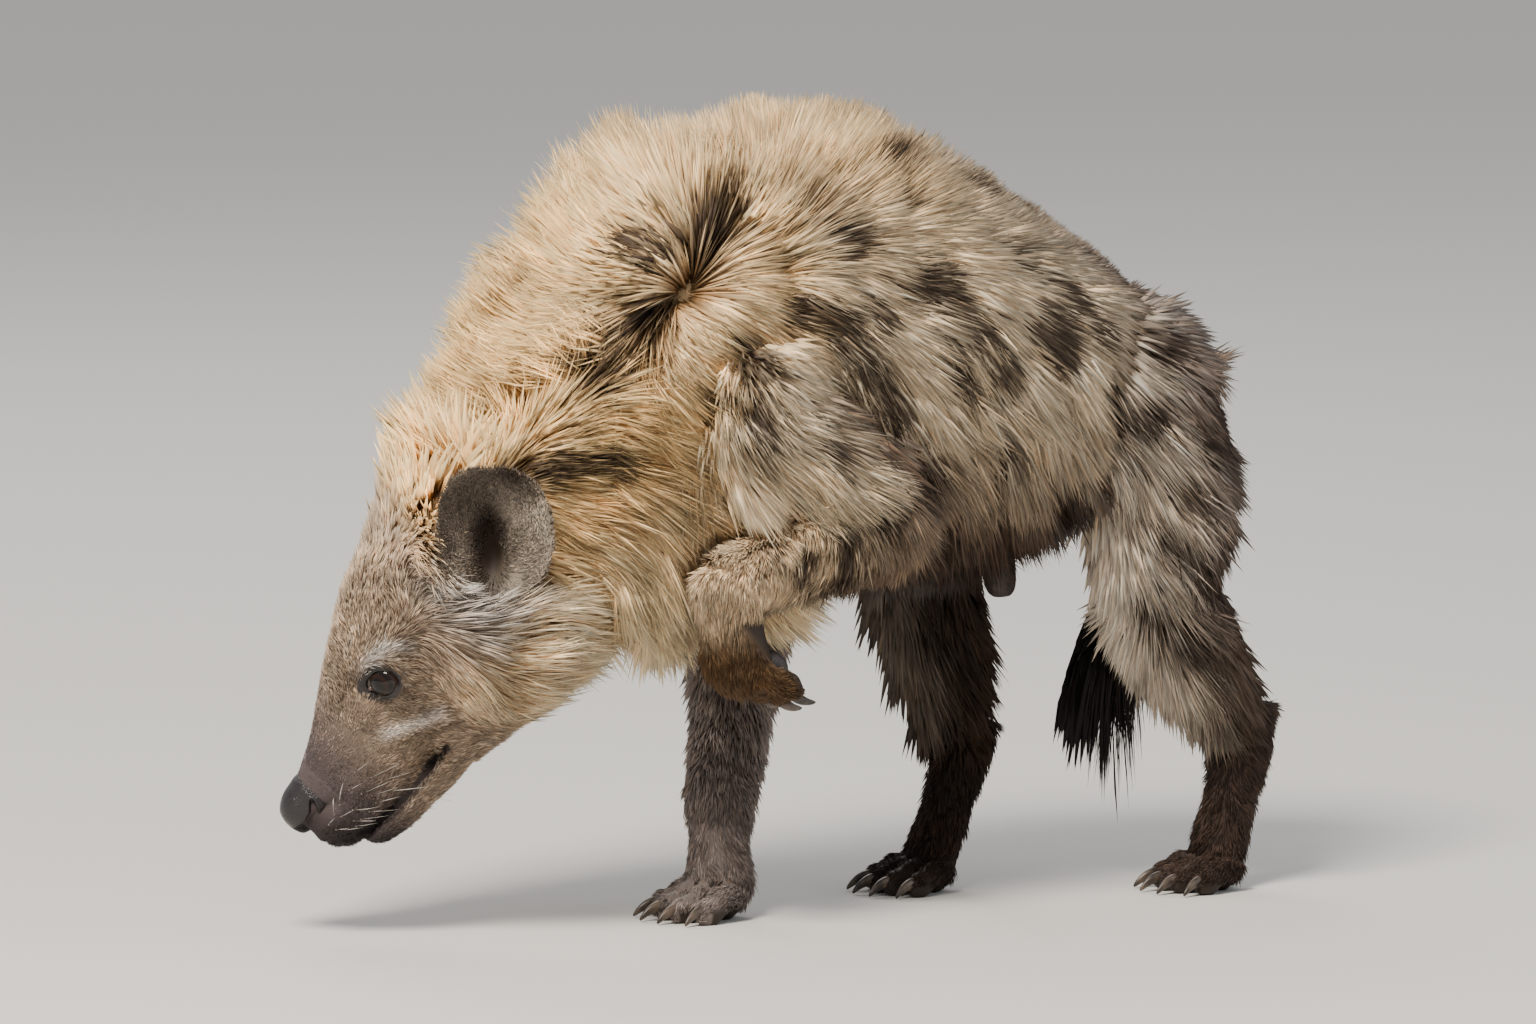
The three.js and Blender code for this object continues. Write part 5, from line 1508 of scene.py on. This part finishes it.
tone_group, inner, group_in, group_out = new_group("mottled_tone", [
    ("Tone", "INPUT", "Color"), ("Scale", "INPUT", "Float"), ("Strength", "INPUT", "Float"),
    ("Tone", "OUTPUT", "Color"), ("Roughness", "OUTPUT", "Float")])
place_node, noise = add(inner, "TexCoord"), add(inner, "TexNoise", Detail=3)
spread_node = add(inner, "MapRange", To_Min=-1.0, To_Max=1.0)
scaled, tint = add(inner, "Math", operation="MULTIPLY_ADD"), add(inner, "HueSaturation")
scaled.inputs[2].default_value = 1.0
rough = add(inner, "MapRange", To_Min=0.48, To_Max=0.72)
wire(tone_group.links, (place_node, "Object", noise, "Vector"), (group_in, "Scale", noise, "Scale"),
     (noise, "Fac", spread_node, "Value"), (spread_node, "Result", scaled, 0),
     (group_in, "Strength", scaled, 1), (scaled, "Value", tint, "Value"), (group_in, "Tone", tint, "Color"),
     (noise, "Fac", rough, "Value"), (tint, "Color", group_out, "Tone"),
     (rough, "Result", group_out, "Roughness"))


def toned(name, scale, strength, specular=0.3):
    """A material that reads the piece's own tone attribute through the mottling."""
    material, nodes, links, shader = new_material(name)
    tone = add(nodes, "Attribute", attribute_name="tone")
    mottle = add(nodes, "Group", node_tree=tone_group)
    mottle.inputs["Scale"].default_value = scale
    mottle.inputs["Strength"].default_value = strength
    wire(links, (tone, "Color", mottle, "Tone"), (mottle, "Tone", shader, "Base Color"),
         (mottle, "Roughness", shader, "Roughness"))
    shader.inputs["Specular IOR Level"].default_value = specular
    return material


coat_material = toned("coat_hair", 26.0, 0.25)
for piece in coat_pieces:
    piece.data.materials.append(coat_material)

# %% [markdown]
# The skin under the coat has the same colours and spots, a little darker, as it lies in shade.
# The skin was made finer than it need be, so the body is thinned after the coat has been rooted,
# and the head keeps its detail.

# %% The skin's tone, thinning and material
skin_tone = skin_mesh.color_attributes.new("tone", "FLOAT_COLOR", "POINT")
spot = spot_share(middles)
shaded = np.ones((count, 4), np.float32)
base = 0.55 * colour[:, :3] + 0.45 * colour[:, 3:]
darker = np.where(on_face & (head_points[:, 0] < 190), 0.5, 0.74)[:, None]
shaded[:, :3] = mix(darker * base, SPOT[:3], fade(spot, 0.14, 0.55))
skin_tone.data.foreach_set("color", shaded.ravel())
keep = skin.vertex_groups.new(name="body")
body_points = np.flatnonzero(head_part_of(points) < 0.5)
keep.add([int(i) for i in body_points], 1.0, "REPLACE")
thin = skin.modifiers.new("thin", "DECIMATE")
thin.ratio = 0.5
thin.vertex_group = "body"
thin.use_collapse_triangulate = True
skin_mesh = applied(skin)
skin_mesh.shade_smooth()
print("triangles in the skin:", len(skin_mesh.polygons))
skin_mesh.materials.append(toned("short_fur_skin", 60.0, 0.3, 0.2))
FLESH_NODES = [name for name in frame["nodes"] if not name.startswith(("claw_", "eye_", "nose", "sheath"))]
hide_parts(*FLESH_NODES)

# %% [markdown]
# ## Eyes and lids
# An eyeball is a sphere with a slightly raised cornea. Its pole looks outwards, so that the iris and
# pupil are rings round the pole and the material can paint them by the distance from it.

# %% Eyeballs
IRIS_REACH = 16.0     # mm from the pole at which the rings of the iris have ended
CORNEA = 0.8          # mm that the cornea stands proud of the ball
FINE_VOXEL = 0.00075


def shader_ramp(nodes, stops):
    ramp = nodes.new("ShaderNodeValToRGB")
    ramp.color_ramp.interpolation = "EASE"
    for k, (at, tone) in enumerate(stops):
        element = ramp.color_ramp.elements[k] if k < 2 else ramp.color_ramp.elements.new(at)
        element.position = at
        element.color = (*tone, 1)
    return ramp


def textured(name, kind, scale, stops, roughness, bump=None, detail=2.0):
    """A material whose colour, and bump if asked, follow one texture. `bump` is strength and height."""
    material, nodes, links, shader = new_material(name)
    place, texture, ramp = add(nodes, "TexCoord"), add(nodes, kind, Scale=scale), shader_ramp(nodes, stops)
    out = "Distance" if kind == "TexVoronoi" else "Fac"
    wire(links, (place, "Object", texture, "Vector"), (texture, out, ramp, "Fac"),
         (ramp, "Color", shader, "Base Color"))
    shader.inputs["Roughness"].default_value = roughness
    if kind == "TexNoise":
        texture.inputs["Detail"].default_value = detail
    if bump:
        relief = add(nodes, "Bump", Strength=bump[0], Distance=bump[1])
        wire(links, (texture, out, relief, "Height"), (relief, "Normal", shader, "Normal"))
    return material


iris_group, inner, group_in, group_out = new_group("iris_rings", [
    ("Centre", "INPUT", "Vector"), ("Tone", "OUTPUT", "Color")])
place_node, gap = add(inner, "TexCoord"), add(inner, "VectorMath", operation="DISTANCE")
ring_scale, streak = add(inner, "Math", operation="MULTIPLY"), add(inner, "Math", operation="MULTIPLY_ADD")
ring_scale.inputs[1].default_value = 1000.0 / IRIS_REACH
streak.inputs[1].default_value = 0.05
fibre = add(inner, "TexNoise", Scale=900.0)
rings = shader_ramp(inner, [(0.0, paint(3, 3, 4)), (0.3, paint(4, 3, 4)), (0.35, paint(20, 11, 7)),
                            (0.5, paint(36, 21, 12)), (0.62, paint(14, 9, 7)), (0.7, paint(22, 15, 13)),
                            (0.95, paint(60, 46, 40))])
wire(iris_group.links, (place_node, "Object", gap, 0), (group_in, "Centre", gap, 1),
     (place_node, "Object", fibre, "Vector"), (gap, "Value", ring_scale, 0), (fibre, "Fac", streak, 0),
     (ring_scale, "Value", streak, 2), (streak, "Value", rings, "Fac"), (rings, "Color", group_out, "Tone"))
lid_material = textured("lid_skin", "TexNoise", 420.0, [(0.3, paint(20, 15, 15)), (0.7, paint(42, 33, 32))],
                        0.42, bump=(0.5, 0.0005), detail=5)

for side_name, side in (("left", 1), ("right", -1)):
    out, ahead, high, centre = eye_axes(side)
    gaze = unit(out + 0.16 * ahead + 0.05 * high)
    ball = bmesh.new()
    bmesh.ops.create_uvsphere(ball, u_segments=48, v_segments=32, radius=1.0)
    turned = np.array([vert.co for vert in ball.verts])
    across = unit(np.cross(gaze, high))
    turned = turned @ np.array([across, np.cross(gaze, across), gaze])
    off_axis = np.arccos(np.clip(turned @ gaze, -1, 1))
    reach = BALL + CORNEA * (1 - fade(np.degrees(off_axis), 18, 44))
    ball_mesh = mesh_from(ball, f"eyeball_{side_name}")
    write_mm(ball_mesh, from_head(centre + turned * reach[:, None]))
    ball_mesh.shade_smooth()
    eyeball = new_piece(f"eyeball_{side_name}", ball_mesh)
    eye_material, nodes, links, shader = new_material(f"eye_{side_name}")
    iris = add(nodes, "Group", node_tree=iris_group)
    iris.inputs["Centre"].default_value = metres(from_head(centre + gaze * (BALL + CORNEA)))
    wire(links, (iris, "Tone", shader, "Base Color"))
    shader.inputs["Roughness"].default_value = 0.04
    shader.inputs["Specular IOR Level"].default_value = 0.38
    ball_mesh.materials.append(eye_material)
    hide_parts(f"eye_{side_name}")

    # the lids: rings round the opening, from under the lid over its rim and down into the skin
    a = 2 * np.pi * np.arange(56) / 56
    span = opening(a)
    lid_rings = []
    for share, rise, held in ((0.93, -0.9, 1), (0.985, 0.25, 1), (1.05, 1.15, 1), (1.16, 1.6, 0.9),
                              (1.34, 1.5, 0.6), (1.6, 0.2, 0), (1.5, -5.0, 0), (1.1, -5.0, 0)):
        flat = np.outer(np.cos(a) * span * share, ahead) + np.outer(np.sin(a) * span * share, high)
        on_ball = np.sqrt(np.maximum(BALL ** 2 - (span * share) ** 2, 5.5 ** 2))
        tall = held * on_ball + (1 - held) * 8.2 + rise * np.where(np.sin(a) > 0, 1.15, 0.9)
        lid_rings.append(from_head(centre + flat + tall[:, None] * out))
    lid_mesh = mesh_from(loft(lid_rings, closed=True), f"lids_{side_name}")
    write_mm(lid_mesh, read(lid_mesh))
    lid_mesh.shade_smooth()
    lid_piece = new_piece(f"lids_{side_name}", lid_mesh)
    smooth = lid_piece.modifiers.new("smooth", "SUBSURF")
    smooth.levels = smooth.render_levels = 1
    lid_mesh.materials.append(lid_material)
print("eyes and lids made")

# %% [markdown]
# ## Nose
# The bare nose is a loft fused at a fine voxel, so that it can be sculpted closely: a round front
# hole, from which a comma runs back along the side, and the groove between the two sides.

# %% Nose pad
nose_part = Part("nose", [[*from_head((x, 0, z)), up, down, wide] for x, z, up, down, wide in
                          [(199, -12, 18.6, 14.8, 21)] + NOSE_ROWS[3:]], up=head_z, axis=head_x, boxy=2.4,
                 sides=40, rings=26)
nose, nose_mesh = fused(loft(list(nose_part.rings())), "nose_pad", FINE_VOXEL)
nose_points = relax(in_mm(nose_mesh), edge_pairs(nose_mesh), np.ones(len(nose_mesh.vertices)), 6)
local_nose = to_head(nose_points)
NOSTRIL = np.array([(229, 6.5, -18.5), (226, 11.5, -21), (219, 16, -21.5), (212, 18.5, -19), (206, 20, -12)])
SLIT = [(3.4, 7.0), (4.2, 9.0), (3.4, 7.5), (2.6, 5.0), (1.7, 2.2)]
folded = local_nose * (1, 0, 1) + np.abs(local_nose) * (0, 1, 0)
off, at = distance_to_line(folded, NOSTRIL)
wide = np.interp(at * 4, range(5), [w for w, _ in SLIT])
deep = np.interp(at * 4, range(5), [d for _, d in SLIT])
inward = unit(np.stack([np.full(len(at), -0.75) + 0.6 * at, -(0.35 + 0.55 * at) * np.sign(local_nose[:, 1]),
                        0.25 + 0 * at], -1))
hollow = np.exp(-(off / (1.15 * wide)) ** 4)
local_nose = local_nose + (deep * hollow)[:, None] * inward
rim = np.exp(-((off - 1.5 * wide) / 1.6) ** 2) * 0.8
local_nose[:, 1] += rim * np.sign(local_nose[:, 1])
groove = np.exp(-local_nose[:, 1] ** 2) * fade(-local_nose[:, 2], 8, 14) * fade(local_nose[:, 0], 218, 226)
local_nose[:, 0] -= 1.3 * groove
write_mm(nose_mesh, from_head(local_nose))
nose_mesh.shade_smooth()
depth_tone = nose_mesh.color_attributes.new("tone", "FLOAT_COLOR", "POINT")
nose_tone = np.ones((len(local_nose), 4), np.float32)
# painted shade: the nostrils and the groove between the two sides are painted near black, for the shade in
# these hollows
nose_tone[:, :3] = mix(paint(37, 32, 34), paint(5, 4, 4), np.maximum(hollow, 0.6 * groove))
depth_tone.data.foreach_set("color", nose_tone.ravel())
print("points in the nose:", len(nose_mesh.vertices))

nose_material, nodes, links, shader = new_material("nose_leather")
nose_place, cells = add(nodes, "TexCoord"), add(nodes, "TexVoronoi", Scale=760.0, feature="DISTANCE_TO_EDGE")
nose_attribute = add(nodes, "Attribute", attribute_name="tone")
cell_range = add(nodes, "MapRange", From_Max=0.35)
nose_bump = add(nodes, "Bump", Strength=0.55, Distance=0.0004)
shader.inputs["Roughness"].default_value = 0.34
wire(links, (nose_place, "Object", cells, "Vector"), (cells, "Distance", cell_range, "Value"),
     (cell_range, "Result", nose_bump, "Height"), (nose_bump, "Normal", shader, "Normal"),
     (nose_attribute, "Color", shader, "Base Color"))
nose_mesh.materials.append(nose_material)
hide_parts("nose")

# %% [markdown]
# ## Claws and pads
# A claw is a small curved loft. The pads are cushions of black leather under the paw. Both use the
# places that the feet left behind when they were modelled.

# %% Claws
claw_material = textured("claw_horn", "TexNoise", 90.0, [(0.3, paint(38, 31, 27)), (0.72, paint(96, 82, 70))],
                         0.32)
CLAW = [(0, 0, 4.3, 3.3), (4, -0.4, 4.2, 3.1), (9, 0.8, 3.6, 2.6), (14, 3.4, 2.6, 1.8), (18, 6.6, 1.5, 1.0),
        (19.5, 8.2, 0.6, 0.4)]  # how far ahead, how far down, half height, half width


def joined_mesh(name, shells):
    """One mesh from several bmeshes that hold millimetres."""
    whole = bmesh.new()
    for shell in shells:
        single = mesh_from(shell, "single")
        whole.from_mesh(single)
        bpy.data.meshes.remove(single)
    bmesh.ops.recalc_face_normals(whole, faces=whole.faces)
    mesh = mesh_from(whole, name)
    write_mm(mesh, read(mesh))
    mesh.shade_smooth()
    return mesh


def add_piece(name, shells, material):
    """A piece of the model from bmeshes that hold millimetres."""
    piece = new_piece(name, joined_mesh(name, shells))
    piece.data.materials.append(material)
    return piece


for foot in FEET:
    shells = []
    for root, ahead in foot["toes"]:
        start = root + ahead * 34 * foot["size"]["reach"] + foot["down"] * foot["size"]["drop"] * 0.58
        claw = Part("claw", [[*(start + ahead * far + foot["down"] * low), high, high, wide]
                             for far, low, high, wide in CLAW], up=-foot["down"], sides=16, rings=18)
        rings = [np.maximum(ring, (-1e9, -1e9, 0.3)) for ring in claw.rings()]
        shells.append(loft(rings))
    claws = add_piece("claws_" + foot["name"], shells, claw_material)
    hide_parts(*[f"claw_{foot['name']}_{k}" for k in (1, 2, 3, 4)])

# %% Pads
pad_material = textured("pad_leather", "TexVoronoi", 620.0,
                        [(0.0, paint(26, 23, 24)), (0.6, paint(54, 48, 49))], 0.5, bump=(0.7, 0.0006))


def cushion(centre, ahead, across, down, long, wide, thick):
    """A soft pad: a ball flattened along `down`, fuller in front."""
    ball = bmesh.new()
    bmesh.ops.create_uvsphere(ball, u_segments=24, v_segments=16, radius=1.0)
    for vert in ball.verts:
        x, y, z = vert.co
        y *= 1 - 0.22 * x
        z = np.sign(z) * abs(z) ** 0.8
        vert.co = centre + ahead * x * long + across * y * wide + down * z * thick
        vert.co.z = max(vert.co.z, 0.0)
    return ball


for foot in FEET:
    ball_place, ahead, down, across, size = (foot[key] for key in ("ball", "way", "down", "across", "size"))
    lifted = foot["name"] == "forefoot_left"
    main_pad = ball_place + (ahead * 20 + down * 19 if lifted else down * size["drop"] * 0.62 - ahead)
    shells = [cushion(main_pad, ahead, across, down, 15, 17, 10 if lifted else 8)]
    for k, (root, way) in zip((-1.5, -0.5, 0.5, 1.5), foot["toes"]):
        centre = root + way * 29 * size["reach"] + down * (0.6 * size["drop"] + 4.2)
        shells.append(cushion(centre, way, across, down, 9.5, size["toe"] * 0.72, 4.6))
    if foot["name"].startswith("forefoot"):
        wrist = JOINTS["left" if "left" in foot["name"] else "right"]["carpus"]
        wrist_pad = ball_place + down * 21 - ahead * 4 if lifted else np.array(wrist) + down * 21 + ahead * 12
        shells.append(cushion(wrist_pad, ahead, across, down, 8, 8, 7))
    add_piece("pads_" + foot["name"], shells, pad_material)

# %% [markdown]
# ## Sheath
# A short blunt cone of dark, thinly haired skin under the belly, with a soft crease at its end.

# %% Sheath
SHEATH = [(78, 0, 262, 13, 14), (80, 0, 248, 12.6, 12.6), (82.5, 0, 232, 12.0, 11.6),
          (84.5, 0, 219, 11.0, 10.6), (85.5, 0, 212, 9.0, 8.6), (85.8, 0, 208.5, 5.2, 4.8),
          (85.6, 0, 211, 2.2, 2.0)]  # x, y, z, half length, half width
sheath_part = Part("sheath_piece", [[x, y, z, long, long, wide] for x, y, z, long, wide in SHEATH],
                   up=FORWARD, sides=32, rings=28)
sheath_material = textured("sheath_skin", "TexNoise", 240.0,
                           [(0.3, paint(30, 22, 20)), (0.75, paint(66, 50, 44))], 0.6, bump=(0.8, 0.001),
                           detail=6)
sheath_piece = add_piece("sheath_skin", [loft(list(sheath_part.rings()))], sheath_material)
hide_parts("sheath")

# %% [markdown]
# ## Whiskers and the corner of the eye
# Whiskers stand in rows on the pad of the upper lip, a few more over the eye and on the chin. Each
# has a small pale root. They are slivers like the coat's, only longer, thinner and stiffer.

# %% Whiskers
WHISKER_ROWS = [(214, -30, 168, -22), (212, -37, 164, -30), (208, -44, 162, -38), (202, -49, 166, -46)]
whisker_draw = np.random.default_rng(5)
skin_points, skin_normals = in_mm(skin_mesh), read(skin_mesh, "normal")
skin_tree = tree_of(to_head(skin_points))
roots, ways, longs, wanted = [], [], [], []
for side in (1, -1):
    for x0, z0, x1, z1 in WHISKER_ROWS:
        for t in (0.0, 0.22, 0.44, 0.68, 0.95):
            wanted.append((x0 + (x1 - x0) * t + whisker_draw.normal(0, 1), 30 * side,
                           z0 + (z1 - z0) * t + whisker_draw.normal(0, 1), 20 + 16 * t))
    wanted += [(108, 34 * side, 27, 22), (102, 36 * side, 30, 26), (96, 38 * side, 30, 20),
               (150, 12 * side, -78, 12), (160, 14 * side, -76, 14), (172, 10 * side, -74, 10)]
for x, y, z, long in wanted:
    at = skin_tree.find((x, y, z))[1]
    normal = skin_normals[at]
    way = unit(0.85 * normal - 0.75 * head_x - np.array([0, 0, 0.1]) + whisker_draw.normal(0, 0.08, 3))
    roots.append(skin_points[at])
    ways.append(way)
    longs.append(long * whisker_draw.uniform(0.75, 1.2))
roots, ways, longs = np.array(roots), np.array(ways), np.array(longs)
rows = np.empty((len(roots), 6, 3))
rows[:, 0] = roots - 0.8 * ways
for k in range(5):
    t = (LONG["steps"][k] + LONG["steps"][k + 1]) / 2
    bent = unit(ways - 0.5 * t * head_x - np.array([0, 0, 0.25 * t]))
    rows[:, k + 1] = rows[:, k] + (longs * (LONG["steps"][k + 1] - LONG["steps"][k]))[:, None] * bent
pale = fade(LONG["steps"], 0.0, 0.35)[None, :, None]
tones = np.tile(paint(70, 58, 52) * (1 - pale) + paint(226, 220, 210) * pale, (len(roots), 1, 1))
bake = np.stack([0.1 + 0.8 * np.linspace(0, 1, len(roots)), np.full(len(roots), 0.5)], -1)
whiskers = sliver_mesh("whiskers", rows, np.full(len(roots), 0.42), tones, bake, LONG)
whiskers.data.materials.append(coat_material)


def plain(name, tone, roughness):
    material, _, _, shader = new_material(name)
    shader.inputs["Base Color"].default_value = (*tone, 1)
    shader.inputs["Roughness"].default_value = roughness
    return material


# %% Roots of the whiskers and corners of the eyes
beads = []
for place, way in zip(roots, ways):
    bead = bmesh.new()
    bmesh.ops.create_icosphere(bead, subdivisions=1, radius=0.85)
    bmesh.ops.translate(bead, vec=Vector(place + 0.1 * way), verts=bead.verts)
    beads.append(bead)
add_piece("whisker_roots", beads, plain("whisker_root", paint(112, 98, 96), 0.5))

drops = []
for side in (1, -1):
    out, ahead, high, centre = eye_axes(side)
    drop = bmesh.new()
    bmesh.ops.create_uvsphere(drop, u_segments=16, v_segments=10, radius=1.7)
    place = from_head(centre + ahead * 11.6 + out * 6.4 - high * 0.8)
    bmesh.ops.translate(drop, vec=Vector(place), verts=drop.verts)
    drops.append(drop)
add_piece("eye_corners", drops, plain("eye_corner", paint(92, 74, 70), 0.2))
print("whiskers:", len(roots))

# %% Say what everything rides on
for piece in list(bpy.context.scene.objects):
    if piece.type == "MESH" and "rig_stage" not in piece and "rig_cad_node" not in piece:
        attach(piece, "root")
